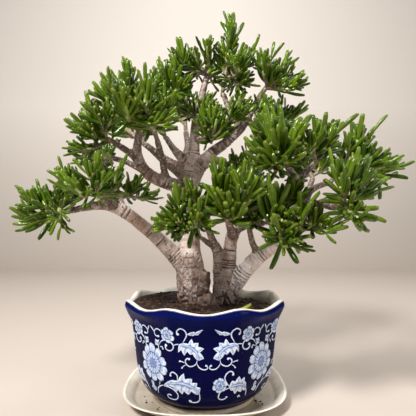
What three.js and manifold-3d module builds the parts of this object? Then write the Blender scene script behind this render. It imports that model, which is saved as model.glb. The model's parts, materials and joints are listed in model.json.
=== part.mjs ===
// A finger-leaved jade grown as a bonsai: two trunks in a lobed glazed pot that stands on a squared saucer.
// Millimetres, +Z up. The origin is on the surface under the saucer, on the pot's axis; -Y is the front.
import * as THREE from 'three';
import { mergeGeometries, mergeVertices } from 'three/addons/utils/BufferGeometryUtils.js';
import Module from 'manifold-3d';

const wasm = await Module();
wasm.setup();

// ---- driving dimensions ----
const seatGap = 0.3; // clearance where two pieces meet

const saucer = {
  back: 20, // its middle lies this far behind the pot's axis
  half: 98, // middle to the rim, across the flats
  baseHalf: 78, // middle to the edge of its flat underside
  floorHalf: 83, // middle to the edge of the level floor
  floor: 4.5, // thickness of the floor
  rise: 14, // height of the rim
  wall: 3.4, // thickness of the flared rim
  lip: 0.6, // the rim's edges lie this far under its top
  flare: [7, 5], // inwards and down from the rim to where the flare is steepest
  squareness: 2.8, // exponent of the rounded square
  segments: 40,
};

const pot = {
  seat: saucer.floor + seatGap, // height of the foot's underside
  lobes: 8,
  lobeDepth: 0.55, // 0 is round, 1 is a straight-sided octagon
  rimLow: 112, // rim above the foot in the middle of a lobe
  rimWave: 6, // rise of the rim from there to a corner
  neck: 94, // where the rim starts to flare
  soilLine: 102, // height of the soil at the wall
  drain: 7, // radius of the hole in the bottom
  segments: 40,
};

// Radius and height above the foot, at the pot's corners.
const potOutside = [[58.5, 0], [59.5, 7], [64.5, 10], [73, 19], [79.5, 33], [84, 53], [87.2, 79],
  [89.8, pot.neck], [97.5, pot.rimLow]];
const potInside = [[91.5, pot.rimLow], [86.5, pot.soilLine], [78.5, 53], [73.5, 33], [57, 12]];
const potBottom = [[pot.drain, 12], [pot.drain, 4], [52, 4], [54, 0]];

const soil = {
  mound: 9, // rise from the wall to the middle
  shoulder: 0.6, // share of the way to the wall where the mound is given a ring of points
  lump: 1.2, // height of its uneven lumps
};

// Where the trunks stand, the height of their cut ends in the soil and of the collar above it.
const trunkBase = { left: [-15, 0], right: [22, -2], sunk: 88, collar: 119, holeSides: 12 };

const leaf = {
  length: 33, // a full-grown leaf on a shoot of size 1
  rootRadius: 2.4,
  tipRadius: 3.6, // the leaf widens from its root to a blunt trumpet end
  dimple: 1.5, // hollow in the end
  topShare: 0.8, // length of the leaf at the tip of a shoot, against the others
  spacing: 0.9, // least room kept to what belongs to another stem
  free: 10, // from here on along a leaf or stem, room is kept to its own stem's leaves too
};

const shoot = {
  radius: 2.9, // of the four-sided stem
  taper: 0.15, // share of that lost from the first pair of leaves to the last
  pairHeight: 4.6, // the leaves stand in opposite pairs, each pair square to the last
  sizes: [0.8, 1.25], // from the smallest shoot to the largest,
  pairs: [2, 4], // and their pairs of leaves
  sunk: 0.6, // share of its leafy part that lies below the place of the rosette
  hubRise: 3, // the shoots part this far beyond the limb's end
  straightness: 0.7, // how much a shoot follows its way from the hub, against its lean
  spreadLow: 74, // degrees from the stem's line, for the oldest pair
  spreadHigh: 28, // and for the youngest
  lift: 0.3, // all of them turn up a little
};

const finish = {
  saucer: { color: 0xe9e1d0, roughness: 0.3, metalness: 0 },
  pot: { color: 0x16215e, roughness: 0.15, metalness: 0 },
  soil: { color: 0x2c2019, roughness: 1, metalness: 0 },
  bark: { color: 0x8b7766, roughness: 0.85, metalness: 0 },
  leaf: { color: 0x3c7a22, roughness: 0.35, metalness: 0 },
};

// ---- wood ----
// Each limb is a way of [x, y, z, radius] stations that starts inside the limb it grows from.
const [leftX, leftY] = trunkBase.left;
const [rightX, rightY] = trunkBase.right;

const leftLimbs = {
  leader: [[leftX, leftY, trunkBase.sunk, 18.5], [leftX, leftY, trunkBase.collar, 18.5], [-16, 0, 134, 17.6],
    [-18, 0, 160, 16], [-19, 0, 182, 12.6], [-18, 1, 209, 11], [-21, 2, 234, 10.6], [-21, 3, 254, 12.5],
    [-17, 4, 272, 12], [-15, 5, 288, 9], [-13, 6, 304, 6.4], [-13, 6, 324, 5.6], [-11, 7, 342, 5.2],
    [-5, 11, 369, 4.5], [1, 19, 397, 3.9]],
  stump: [[-12, -2, 143, 9], [-4, -7, 147, 8.2], [2, -11, 148, 7.2]],
  leftLimb: [[-23, 0, 161, 13], [-36, -3, 172, 10.4], [-48, -8, 184, 8.8], [-60, -13, 196, 8],
    [-72, -19, 207, 7.6], [-86, -27, 219, 7.3], [-99, -33, 228, 7], [-112, -37, 232, 6.2],
    [-125, -37, 231, 5], [-138, -34, 229, 4.1], [-154, -28, 226, 3.5]],
  leftUp: [[-101, -33, 229, 6], [-110, -48, 237, 5.2], [-117, -62, 244, 4.3]],
  leftBack: [[-94, -30, 225, 5], [-103, -6, 238, 3.9], [-111, 36, 246, 3.5], [-112, 68, 249, 3.2]],
  westLimb: [[-19, 3, 252, 10], [-31, -2, 256, 8.8], [-46, -8, 260, 7.8], [-60, -14, 265, 7.2],
    [-72, -19, 275, 6.5], [-79, -24, 289, 5.7], [-79, -28, 301, 5], [-77, -32, 312, 4.4]],
  westOut: [[-79, -24, 287, 4.6], [-90, -29, 295, 3.9], [-103, -36, 303, 3.5]],
  westLow: [[-66, -14, 269, 5], [-82, -2, 279, 3.9], [-99, 6, 288, 3.5], [-116, 10, 293, 3.2]],
  westRise: [[-46, -8, 262, 4.4], [-49, -16, 276, 3.9], [-51, -24, 290, 3.6], [-54, -38, 304, 3.3]],
  westMid: [[-20, 4, 277, 7], [-41, 6, 286, 5], [-57, 14, 297, 4.4], [-71, 22, 308, 4], [-86, 32, 321, 3.4]],
  northStub: [[-17, 5, 284, 8], [-30, 12, 295, 6.2], [-41, 24, 308, 4.2], [-52, 40, 325, 3.3]],
  northBack: [[-15, 6, 286, 7], [-24, 28, 300, 5.2], [-24, 56, 319, 4.3], [-28, 82, 342, 3.6]],
  topLeft: [[-10, 8, 346, 4.2], [-18, 8, 356, 3.7], [-27, 5, 364, 3.3]],
  eastLimb: [[-15, 4, 271, 11], [-4, 2, 285, 8.6], [9, -3, 298, 7.2], [21, -7, 306, 6.1], [32, -9, 315, 5.6],
    [44, -10, 328, 5.3], [52, -8, 341, 4.7], [61, -4, 356, 4.1], [70, 0, 371, 3.5]],
  eastInner: [[42, -10, 326, 4.5], [37, -4, 341, 3.9], [29, 4, 356, 3.5], [24, 9, 373, 3.1]],
  eastSide: [[50, -9, 336, 4.3], [62, 3, 334, 3.5], [73, 16, 335, 3.2]],
  nestTwig: [[-12, 6, 316, 4], [-3, -8, 313, 3.2], [3, -20, 311, 2.9]],
  backWest: [[-19, 4, 262, 9], [-36, 38, 279, 6], [-60, 66, 300, 5], [-82, 86, 322, 4]],
  backEast: [[-4, 3, 284, 7], [14, 34, 294, 5.4], [36, 62, 289, 4.4], [56, 80, 286, 3.7]],
};

const rightLimbs = {
  middle: [[rightX, rightY, trunkBase.sunk, 14.5], [rightX, rightY, trunkBase.collar, 14.5],
    [25, -3, 131, 14.6], [28, -4, 143, 12.4], [29, -5, 158, 9.4], [30, -6, 176, 8.3], [32, -9, 194, 7.4],
    [37, -14, 206, 6.4], [40, -10, 218, 4.4], [47, 6, 231, 3.6]],
  thinStem: [[19, -3, 136, 9], [17, -1, 152, 7.6], [17, 0, 166, 7.2], [15, 1, 178, 6.2], [10, 0, 189, 4.6],
    [4, -8, 204, 3.7], [-1, -26, 216, 3.2]],
  thinSide: [[12, 0, 183, 4.4], [4, -6, 187, 3.2], [-2, -13, 192, 2.8]],
  rightLimb: [[28, -4, 132, 11.5], [40, -8, 144, 10.6], [50, -12, 157, 9.6], [62, -17, 170, 9],
    [75, -24, 181, 8.2], [89, -32, 193, 7.7], [101, -41, 206, 7.2], [108, -48, 219, 6.8], [104, -52, 233, 5],
    [100, -55, 248, 4.6], [98, -60, 260, 4.1], [88, -75, 270, 3.5]],
  midFront: [[34, -10, 195, 5.8], [29, -36, 206, 4.3], [26, -58, 213, 3.7]],
  midRight: [[37, -14, 205, 5.4], [52, -30, 209, 3.9], [64, -50, 211, 3.4]],
  rightTwig: [[64, -18, 173, 5], [56, -26, 187, 3.6], [51, -38, 202, 3.2]],
  rightFork: [[100, -55, 251, 4.3], [109, -56, 264, 3.5], [117, -58, 273, 3.2]],
  rightMid: [[108, -48, 220, 5.6], [113, -44, 233, 4.6], [119, -38, 246, 4.1], [130, -28, 253, 3.6],
    [148, -14, 260, 3.3]],
  rightKnob: [[107, -47, 219, 5.6], [118, -57, 228, 4.3], [127, -65, 232, 5.4], [136, -72, 232, 8.2],
    [142, -79, 231, 5.6]],
  rightLow: [[105, -45, 212, 5], [108, -58, 208, 3.7], [111, -68, 206, 3.3]],
  rightFront: [[94, -36, 198, 5.6], [88, -56, 200, 4], [84, -72, 201, 3.5]],
  rightBack: [[109, -46, 220, 5.8], [120, -16, 234, 4.5], [133, 22, 252, 3.9], [144, 48, 269, 3.4]],
};

// ---- leafy sprays ----
// Each spray grows from the end of one limb: its shoots are [x, y, z of the rosette, size, lean].
const lean = {
  up: [0, 0, 1],
  west: [-1, 0, 0.25],
  east: [1, 0, 0.25],
  upWest: [-0.7, 0, 0.75],
  upEast: [0.7, 0, 0.75],
  front: [0, -1, 0.35],
  down: [0, -0.3, -1],
  downEast: [0.8, -0.2, -0.45],
};

const sprays = {
  spray_left_far: ['leftLimb', [[-200, -18, 216, 1, 'west'], [-198, -32, 236, 0.95, 'upWest'],
    [-168, -30, 240, 1, 'up'], [-162, -48, 222, 0.8, 'down'], [-204, 12, 238, 0.95, 'upWest']]],
  spray_left_near: ['leftUp', [[-110, -86, 254, 1.15, 'up'], [-128, -94, 243, 1.1, 'upWest'],
    [-145, -62, 252, 1, 'upWest'], [-94, -74, 252, 1, 'up']]],
  spray_left_back: ['leftBack', [[-107, 92, 258, 0.85, 'up'], [-84, 96, 248, 0.85, 'east'],
    [-138, 96, 261, 0.85, 'up']]],
  spray_west_out: ['westOut', [[-129, -50, 312, 1.05, 'west'], [-138, -38, 294, 0.95, 'west'],
    [-114, -68, 324, 1.05, 'upWest'], [-138, -10, 332, 0.95, 'upWest']]],
  spray_west_low: ['westLow', [[-146, 12, 288, 0.9, 'west'], [-144, 52, 290, 0.9, 'west'],
    [-138, 58, 312, 0.9, 'up']]],
  spray_west_crown: ['westLimb', [[-88, -32, 375, 0.95, 'up'], [-94, -76, 346, 1.1, 'upWest'],
    [-78, -98, 322, 1.15, 'front'], [-108, -48, 348, 1.05, 'upWest'], [-108, 6, 383, 1, 'upWest']]],
  spray_west_rise: ['westRise', [[-60, -88, 336, 1.1, 'up'], [-50, -90, 312, 1, 'east'],
    [-58, -52, 362, 0.95, 'upEast'], [-44, -62, 334, 0.9, 'upEast']]],
  spray_west_mid: ['westMid', [[-114, 58, 352, 0.95, 'up'], [-94, 48, 384, 0.95, 'up'],
    [-134, 78, 376, 0.95, 'upWest']]],
  spray_north_stub: ['northStub', [[-66, 60, 382, 0.95, 'up'], [-72, 88, 366, 0.9, 'up']]],
  spray_north_back: ['northBack', [[-32, 112, 408, 0.95, 'up'], [-50, 132, 388, 0.9, 'up'],
    [-12, 122, 394, 0.9, 'upEast']]],
  spray_top_left: ['topLeft', [[-50, 0, 387, 0.95, 'up'], [-38, -30, 374, 1, 'up'],
    [-32, 28, 392, 0.85, 'up']]],
  spray_crown: ['leader', [[-27, 10, 418, 1, 'up'], [4, 2, 418, 0.95, 'up'], [-12, 46, 426, 0.95, 'up'],
    [16, 50, 418, 0.9, 'upEast']]],
  spray_east_inner: ['eastInner', [[34, 10, 444, 1.1, 'up'], [52, 20, 420, 0.95, 'upEast'],
    [40, -20, 398, 0.95, 'up'], [50, 52, 408, 0.9, 'upEast'], [46, -4, 384, 0.85, 'east']]],
  spray_east_rise: ['eastLimb', [[95, 2, 404, 1.05, 'upEast'], [97, -4, 379, 1, 'east'],
    [72, -14, 396, 0.9, 'up'], [108, 38, 394, 0.95, 'east'], [86, 44, 419, 0.9, 'up']]],
  spray_east_side: ['eastSide', [[96, 40, 358, 0.9, 'up'], [112, 28, 348, 0.95, 'upEast'],
    [112, 74, 346, 0.9, 'east']]],
  spray_nest: ['nestTwig', [[9, -46, 314, 0.95, 'up'], [24, -38, 324, 0.9, 'upEast'],
    [0, -34, 330, 0.85, 'up']]],
  spray_middle_front: ['midFront', [[24, -90, 222, 1.25, 'front'], [18, -82, 240, 1.2, 'up'],
    [38, -98, 240, 1.15, 'up']]],
  spray_middle_back: ['middle', [[62, 48, 276, 0.9, 'up'], [42, 70, 274, 0.85, 'up'],
    [40, 14, 260, 0.9, 'up']]],
  spray_middle_right: ['midRight', [[70, -94, 222, 1.3, 'up'], [86, -72, 230, 1.1, 'upEast'],
    [62, -52, 240, 0.85, 'up']]],
  spray_thin_stem: ['thinStem', [[-24, -90, 222, 1.15, 'up'], [-8, -68, 230, 1, 'up'],
    [-30, -86, 208, 0.95, 'west'], [-10, -98, 210, 0.9, 'front']]],
  spray_thin_side: ['thinSide', [[-12, -38, 202, 0.75, 'down']]],
  spray_right_twig: ['rightTwig', [[50, -74, 226, 0.95, 'up']]],
  spray_right_rise: ['rightLimb', [[69, -114, 282, 1.25, 'up'], [84, -102, 292, 1.15, 'upEast'],
    [60, -106, 278, 1, 'upWest'], [70, -82, 300, 1.05, 'up']]],
  spray_right_fork: ['rightFork', [[122, -72, 295, 1.1, 'up'], [140, -50, 306, 1.05, 'upEast'],
    [106, -88, 290, 1, 'upWest']]],
  spray_right_mid: ['rightMid', [[184, -12, 308, 1.05, 'up'], [199, 0, 312, 1.1, 'upEast'],
    [222, 4, 273, 1.1, 'east'], [194, 34, 290, 0.9, 'up'], [203, -24, 276, 1, 'east']]],
  spray_right_knob: ['rightKnob', [[149, -98, 222, 1.05, 'downEast'], [154, -86, 250, 1.15, 'up'],
    [172, -72, 244, 1.05, 'east'], [138, -106, 246, 1, 'up']]],
  spray_right_low: ['rightLow', [[118, -86, 206, 0.9, 'east'], [98, -98, 210, 1.1, 'upEast']]],
  spray_right_front: ['rightFront', [[76, -102, 202, 1.1, 'front'], [86, -94, 198, 0.9, 'front']]],
  spray_right_back: ['rightBack', [[142, 74, 298, 0.85, 'up'], [170, 76, 290, 0.9, 'upEast'],
    [136, 94, 282, 0.85, 'up'], [166, 96, 314, 0.9, 'up']]],
  spray_back_west: ['backWest', [[-112, 122, 372, 0.95, 'up'], [-132, 116, 350, 0.95, 'west'],
    [-92, 132, 356, 0.9, 'up']]],
  spray_back_east: ['backEast', [[112, 108, 320, 0.95, 'up'], [134, 124, 330, 0.95, 'upEast'],
    [98, 118, 304, 0.85, 'up']]],
};

// ---- solids ----
function solidOf(geometry) {
  geometry.deleteAttribute('normal');
  geometry.deleteAttribute('uv');
  const closed = mergeVertices(geometry, 1e-3);
  return new wasm.Manifold(new wasm.Mesh({
    numProp: 3,
    vertProperties: closed.attributes.position.array,
    triVerts: new Uint32Array(closed.index.array),
  }));
}

function meshOf(name, solid, material) {
  const { vertProperties, triVerts } = solid.getMesh();
  const geometry = new THREE.BufferGeometry();
  geometry.setAttribute('position', new THREE.BufferAttribute(vertProperties, 3));
  geometry.setIndex(new THREE.BufferAttribute(triVerts, 1));
  geometry.computeVertexNormals();
  const mesh = new THREE.Mesh(geometry, new THREE.MeshStandardMaterial(material));
  mesh.name = name;
  return mesh;
}

const vector = ([x, y, z]) => new THREE.Vector3(x, y, z);
const station = (place, radius) => [place.x, place.y, place.z, radius];

// Directions of a way of [x, y, z, radius] stations, and rings of corners square to it, which are carried
// along it without twist.
function ringsAlong(stations, sides) {
  const last = stations.length - 1;
  const places = stations.map(vector);
  const along = places.map((_, i) => new THREE.Vector3()
    .subVectors(places[Math.min(i + 1, last)], places[Math.max(i - 1, 0)]).normalize());
  let across = new THREE.Vector3(0.35, 0.8, 0.5);
  const rings = stations.map(([, , , radius], i) => {
    across = across.clone().addScaledVector(along[i], -across.dot(along[i])).normalize();
    const other = new THREE.Vector3().crossVectors(across, along[i]);
    return Array.from({ length: sides }, (_, k) => {
      const turn = 2 * Math.PI * k / sides;
      return places[i].clone()
        .addScaledVector(across, radius * Math.sin(turn))
        .addScaledVector(other, radius * Math.cos(turn));
    });
  });
  return { places, along, rings };
}

// Moves the vertices of a cylinder or cone, one unit high for each span, onto rings of corners. What lies
// on its axis goes to the centre of its ring.
function laidOn(geometry, rings, centres) {
  const position = geometry.attributes.position;
  const sides = rings[0].length;
  for (let i = 0; i < position.count; i += 1) {
    const [x, y, z] = [position.getX(i), position.getY(i), position.getZ(i)];
    const ring = Math.round(y + geometry.parameters.height / 2);
    const column = Math.round(Math.atan2(x, z) * sides / (2 * Math.PI) + sides) % sides;
    const spot = Math.hypot(x, z) < 1e-6 ? centres[ring] : rings[ring][column];
    position.setXYZ(i, spot.x, spot.y, spot.z);
  }
  return geometry;
}

// A round tapered tube through stations, closed at both ends.
function tube(stations, sides) {
  const spans = stations.length - 1;
  const { places, rings } = ringsAlong(stations, sides);
  return solidOf(laidOn(new THREE.CylinderGeometry(1, 1, spans, sides, spans), rings, places));
}

// ---- saucer and pot ----
// A turned profile, +Z up, whose points are then moved by shape(x, y, z).
function turned(profile, segments, startTurn, shape) {
  const points = profile.map(([radius, height]) => new THREE.Vector2(radius, height));
  const geometry = new THREE.LatheGeometry(points, segments, startTurn);
  geometry.rotateX(Math.PI / 2);
  const position = geometry.attributes.position;
  for (let i = 0; i < position.count; i += 1) {
    position.setXYZ(i, ...shape(position.getX(i), position.getY(i), position.getZ(i)));
  }
  return solidOf(geometry);
}

// The circle becomes a rounded square: its radius grows towards the corners.
function squared(x, y, z) {
  const turn = Math.atan2(y, x);
  const n = saucer.squareness;
  const grow = (Math.abs(Math.cos(turn)) ** n + Math.abs(Math.sin(turn)) ** n) ** (-1 / n);
  return [x * grow, y * grow, z];
}

function saucerSolid() {
  const { half, baseHalf, floorHalf, floor, rise, wall, lip, flare: [inwards, down] } = saucer;
  return turned([[0, 0], [baseHalf, 0], [half - inwards, rise - down], [half, rise - lip],
    [half - 0.4 * wall, rise], [half - wall, rise - lip], [half - wall - inwards, rise - down + 1],
    [floorHalf, floor], [0, floor]], saucer.segments, 0, squared);
}

// The circle becomes eight lobes that fade towards the foot, and the rim rises to a peak at each corner.
function lobed(x, y, z) {
  const lobeTurn = 2 * Math.PI / pot.lobes;
  const turn = Math.atan2(x, -y);
  const fromMiddle = turn - lobeTurn * Math.round(turn / lobeTurn);
  const fade = THREE.MathUtils.lerp(0.3, 1, THREE.MathUtils.clamp(z / pot.neck, 0, 1));
  const inset = 1 - Math.cos(lobeTurn / 2) / Math.cos(fromMiddle);
  const grow = 1 - pot.lobeDepth * fade * inset;
  const t = Math.abs(fromMiddle) / (lobeTurn / 2);
  const wave = 0.5 * t * t + 0.25 * (1 - Math.cos(Math.PI * t));
  const atRim = THREE.MathUtils.smoothstep(z, pot.soilLine, pot.rimLow);
  return [x * grow, y * grow, z + pot.rimWave * wave * atRim];
}

function potSolid() {
  const profile = [...potOutside, ...potInside, ...potBottom, potOutside[0]];
  return turned(profile, pot.segments, Math.PI / pot.lobes, lobed);
}

// The soil fills the pot up to its soil line, with lumps on its mounded top.
function soilSolid() {
  const wall = potInside.slice(1).reverse();
  const [[, bottom]] = wall;
  const edgeRadius = wall.at(-1)[0] - 2 * seatGap;
  const sides = wall.map(([radius, height], i) => [radius - 2 * seatGap, height + (i === 0 ? seatGap : 0)]);
  const top = [soil.shoulder, 0].map((share) => [edgeRadius * share,
    pot.soilLine + soil.mound * (1 - share * share)]);
  const profile = [[0, bottom + seatGap], ...sides, ...top];
  return turned(profile, pot.segments, Math.PI / pot.lobes, (x, y, z) => {
    const isTop = z > pot.soilLine + 1;
    const lump = isTop ? soil.lump * Math.sin(x * 0.21 + 1.3) * Math.cos(y * 0.17) : 0;
    const [lobeX, lobeY] = lobed(x, y, Math.min(z, pot.soilLine));
    return [lobeX, lobeY, z + lump];
  });
}

// A plain blind hole in the soil, where a trunk stands.
function trunkHole([x, y], radius) {
  const { sunk, collar, holeSides } = trunkBase;
  const wide = (radius + seatGap) / Math.cos(Math.PI / holeSides);
  return tube([[x, y, sunk - seatGap - pot.seat, wide], [x, y, collar, wide]], holeSides);
}

// ---- tree ----
const woodSides = { leader: 10, middle: 9, leftLimb: 7, eastLimb: 6, rightLimb: 7, thinStem: 6 };

function woodSolid(limbs) {
  return wasm.Manifold.union(Object.entries(limbs).map(([name, way]) => tube(way, woodSides[name] ?? 5)));
}

// A steady scatter between 0 and 1, the same for the same two numbers.
function scatter(i, k) {
  const wave = Math.sin(i * 127.1 + k * 311.7) * 43758.5453;
  return wave - Math.floor(wave);
}

// The balls, at most 4 mm apart, that stand for a way when its clearance to others is worked out.
function ballsAlong(stations, stem) {
  const balls = [];
  let travelled = 0;
  for (let i = 0; i + 1 < stations.length; i += 1) {
    const [a, b] = [stations[i], stations[i + 1]];
    const length = vector(a).distanceTo(vector(b));
    const steps = Math.ceil(length / 4);
    for (let k = 0; k <= steps; k += 1) {
      const [x, y, z, radius] = a.map((value, axis) => THREE.MathUtils.lerp(value, b[axis], k / steps));
      balls.push({ x, y, z, radius, stem, free: travelled + length * k / steps > leaf.free });
    }
    travelled += length;
  }
  return balls;
}

function isClear(balls, others) {
  return balls.every((ball) => others.every((other) => (
    (other.stem === ball.stem && !(ball.free && other.free))
    || Math.hypot(ball.x - other.x, ball.y - other.y, ball.z - other.z)
      > ball.radius + other.radius + leaf.spacing)));
}

// The stem of the first shoot carries on from the limb's end, and the others branch from it in turn. Each
// runs to its rosette's place, along its lean, and ends in the youngest leaf.
function shootsOf(name) {
  const [limbName, places] = sprays[name];
  const limb = leftLimbs[limbName] ?? rightLimbs[limbName];
  const [before, end] = limb.slice(-2);
  const heading = vector(end).sub(vector(before)).normalize();
  const start = vector(end).addScaledVector(heading, seatGap);
  const hub = vector(end).addScaledVector(heading, end[3] + shoot.hubRise);
  let leaderFoot;
  return places.map(([x, y, z, size, leanName], i) => {
    const grown = THREE.MathUtils.smoothstep(size, ...shoot.sizes);
    const pairs = Math.round(THREE.MathUtils.lerp(...shoot.pairs, grown));
    const rosette = new THREE.Vector3(x, y, z);
    const from = leaderFoot ? hub.clone().lerp(leaderFoot, 0.15 + 0.6 * (i - 1) / places.length) : hub;
    const axis = rosette.clone().sub(from).normalize().multiplyScalar(shoot.straightness)
      .add(vector(lean[leanName]).normalize()).normalize();
    const leafy = pairs * shoot.pairHeight;
    const foot = rosette.clone().addScaledVector(axis, -shoot.sunk * leafy);
    const tip = foot.clone().addScaledVector(axis, leafy + leaf.length * size * leaf.topShare);
    const lower = leaderFoot ? [station(from, shoot.radius * 0.75)]
      : [station(start, end[3] * 0.97), station(hub, Math.min(end[3] * 0.85, 4))];
    leaderFoot ??= foot;
    const rings = Array.from({ length: pairs + 1 }, (_, k) => station(
      foot.clone().addScaledVector(axis, k * shoot.pairHeight),
      shoot.radius * (1 - shoot.taper * k / pairs),
    ));
    const way = [...lower, ...rings, station(tip, leaf.tipRadius * Math.sqrt(size))];
    return { axis, size, pairs, firstPair: lower.length, way, stem: `${name} ${i}` };
  });
}

// What a leaf may do to keep clear of its neighbours: turn to a side, droop or rise by some degrees, or
// stay short. The choices are tried in this order.
const turns = [0, 0.3, -0.3, 0.6, -0.6];
const droops = [0, 16, -14];
const reaches = [1, 0.84, 0.68, 0.5];

// The leaves that could grow from four root corners: the low, old ones stand out from the stem and the
// young ones stand up along it.
function leafChoices(grower, root, pair, seed) {
  const { axis, size, pairs } = grower;
  const share = (pair + 0.5) / pairs;
  const middle = root.reduce((sum, point) => sum.addScaledVector(point, 0.25), new THREE.Vector3());
  const beside = new THREE.Vector3().subVectors(root[1], root[0]).normalize();
  const out = new THREE.Vector3().crossVectors(beside, axis).normalize();
  const length = leaf.length * size * (0.86 + 0.28 * scatter(seed, 2));
  const plain = THREE.MathUtils.lerp(shoot.spreadLow, shoot.spreadHigh, share)
    + 12 * (scatter(seed, 3) - 0.5);
  const sway = 0.5 * (scatter(seed, 4) - 0.5);
  return reaches.flatMap((reach) => droops.flatMap((droop) => turns.map((turn) => {
    const spread = THREE.MathUtils.degToRad(plain + droop);
    const direction = axis.clone().multiplyScalar(Math.cos(spread))
      .addScaledVector(out, Math.sin(spread)).addScaledVector(beside, turn + sway);
    direction.z += shoot.lift;
    direction.normalize();
    const radius = leaf.tipRadius * Math.sqrt(size);
    return { root, middle, beside, direction, length: length * reach, radius };
  })));
}

const leafTip = ({ middle, direction, length }) => middle.clone().addScaledVector(direction, length);

// The leaf is an open cone of two spans: root corners, tip corners and the hollow in its end.
function leafGeometry(blade) {
  const { root, beside, direction, radius } = blade;
  const tip = leafTip(blade);
  const wide = beside.clone().addScaledVector(direction, -beside.dot(direction)).normalize();
  const high = new THREE.Vector3().crossVectors(direction, wide);
  const corners = [[-1, -1], [1, -1], [1, 1], [-1, 1]].map(([u, v]) => tip.clone()
    .addScaledVector(wide, u * radius * Math.SQRT1_2)
    .addScaledVector(high, v * radius * Math.SQRT1_2));
  const hollow = tip.clone().addScaledVector(direction, -leaf.dimple);
  return laidOn(new THREE.ConeGeometry(1, 2, 4, 2, true), [root, corners], [null, null, hollow]);
}

// One shoot: a four-sided stem that closes in a hollow tip, with a leaf grown out of two opposite faces of
// each span, so that each pair is square to the last.
function shootSolid(grower, seed, taken) {
  const { way, firstPair, pairs, stem } = grower;
  const { places, along, rings } = ringsAlong(way, 4);
  const spans = way.length;
  const hollow = places.at(-1).clone().addScaledVector(along.at(-1), -leaf.dimple);
  const geometry = laidOn(new THREE.ConeGeometry(1, spans, 4, spans), rings, [...places, hollow]);
  const open = new Set();
  const leaves = [];
  for (let pair = 0; pair < pairs; pair += 1) {
    const ring = firstPair + pair;
    for (let side = pair % 2; side < 4; side += 2) {
      const next = (side + 1) % 4;
      const root = [rings[ring][side], rings[ring][next], rings[ring + 1][next], rings[ring + 1][side]];
      const choices = leafChoices(grower, root, pair, seed * 40 + ring * 4 + side);
      const ballsOf = (blade) => ballsAlong(
        [station(blade.middle, leaf.rootRadius), station(leafTip(blade), blade.radius)], stem);
      const blade = choices.find((choice) => isClear(ballsOf(choice), taken));
      if (blade) {
        taken.push(...ballsOf(blade));
        leaves.push(leafGeometry(blade));
        const first = side * (2 * spans - 1) + 2 * (spans - 1 - ring) - 1;
        open.add(first).add(first + 1);
      }
    }
  }
  const index = Array.from(geometry.index.array).filter((_, i) => !open.has(Math.floor(i / 3)));
  geometry.setIndex(index);
  return solidOf(mergeGeometries([geometry, ...leaves]));
}

// ---- the whole object ----
const bonsai = new THREE.Group();

const dish = meshOf('saucer', saucerSolid(), finish.saucer);
dish.position.set(0, saucer.back, 0);
bonsai.add(dish);

const potted = new THREE.Group();
potted.position.set(0, 0, pot.seat);
potted.add(meshOf('pot', potSolid(), finish.pot));
potted.add(meshOf('soil', soilSolid()
  .subtract(trunkHole(trunkBase.left, leftLimbs.leader[0][3]))
  .subtract(trunkHole(trunkBase.right, rightLimbs.middle[0][3])), finish.soil));
bonsai.add(potted);

const tree = new THREE.Group();
tree.add(meshOf('left_trunk', woodSolid(leftLimbs), finish.bark));
tree.add(meshOf('right_trunk', woodSolid(rightLimbs), finish.bark));

const grown = Object.keys(sprays).map((name) => ({ name, shoots: shootsOf(name) }));
const taken = [
  ...Object.entries({ ...leftLimbs, ...rightLimbs }).flatMap(([name, way]) => ballsAlong(way, name)),
  ...grown.flatMap(({ shoots }) => shoots.flatMap(({ way, stem }) => ballsAlong(way, stem))),
];
grown.forEach(({ name, shoots }, spray) => {
  const solids = shoots.map((grower, i) => shootSolid(grower, spray * 8 + i, taken));
  tree.add(meshOf(name, wasm.Manifold.union(solids), finish.leaf));
});
bonsai.add(tree);

export default bonsai;
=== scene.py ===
import json
import math
import bpy
import numpy as np
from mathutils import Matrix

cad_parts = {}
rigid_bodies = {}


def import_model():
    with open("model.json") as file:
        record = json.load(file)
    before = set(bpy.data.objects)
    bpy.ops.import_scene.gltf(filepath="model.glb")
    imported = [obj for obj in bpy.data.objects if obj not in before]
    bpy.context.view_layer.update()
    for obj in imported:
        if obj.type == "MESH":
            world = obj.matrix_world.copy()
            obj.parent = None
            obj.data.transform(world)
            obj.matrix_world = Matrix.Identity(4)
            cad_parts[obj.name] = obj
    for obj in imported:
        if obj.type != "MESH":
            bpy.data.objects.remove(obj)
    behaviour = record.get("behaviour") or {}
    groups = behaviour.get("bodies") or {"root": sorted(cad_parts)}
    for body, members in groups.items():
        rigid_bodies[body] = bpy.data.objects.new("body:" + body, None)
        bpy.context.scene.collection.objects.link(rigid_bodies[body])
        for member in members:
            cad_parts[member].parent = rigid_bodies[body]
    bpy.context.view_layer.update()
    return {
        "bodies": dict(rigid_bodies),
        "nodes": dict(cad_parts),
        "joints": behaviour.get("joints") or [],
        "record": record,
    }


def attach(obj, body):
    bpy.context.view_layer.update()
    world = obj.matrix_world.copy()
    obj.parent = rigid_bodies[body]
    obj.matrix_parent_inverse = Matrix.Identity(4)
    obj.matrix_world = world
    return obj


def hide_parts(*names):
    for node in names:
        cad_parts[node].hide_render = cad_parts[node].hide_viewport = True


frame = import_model()
mm = 0.001  # lengths below are in millimetres
print("frame loaded:", len(frame["nodes"]), "nodes")

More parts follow.
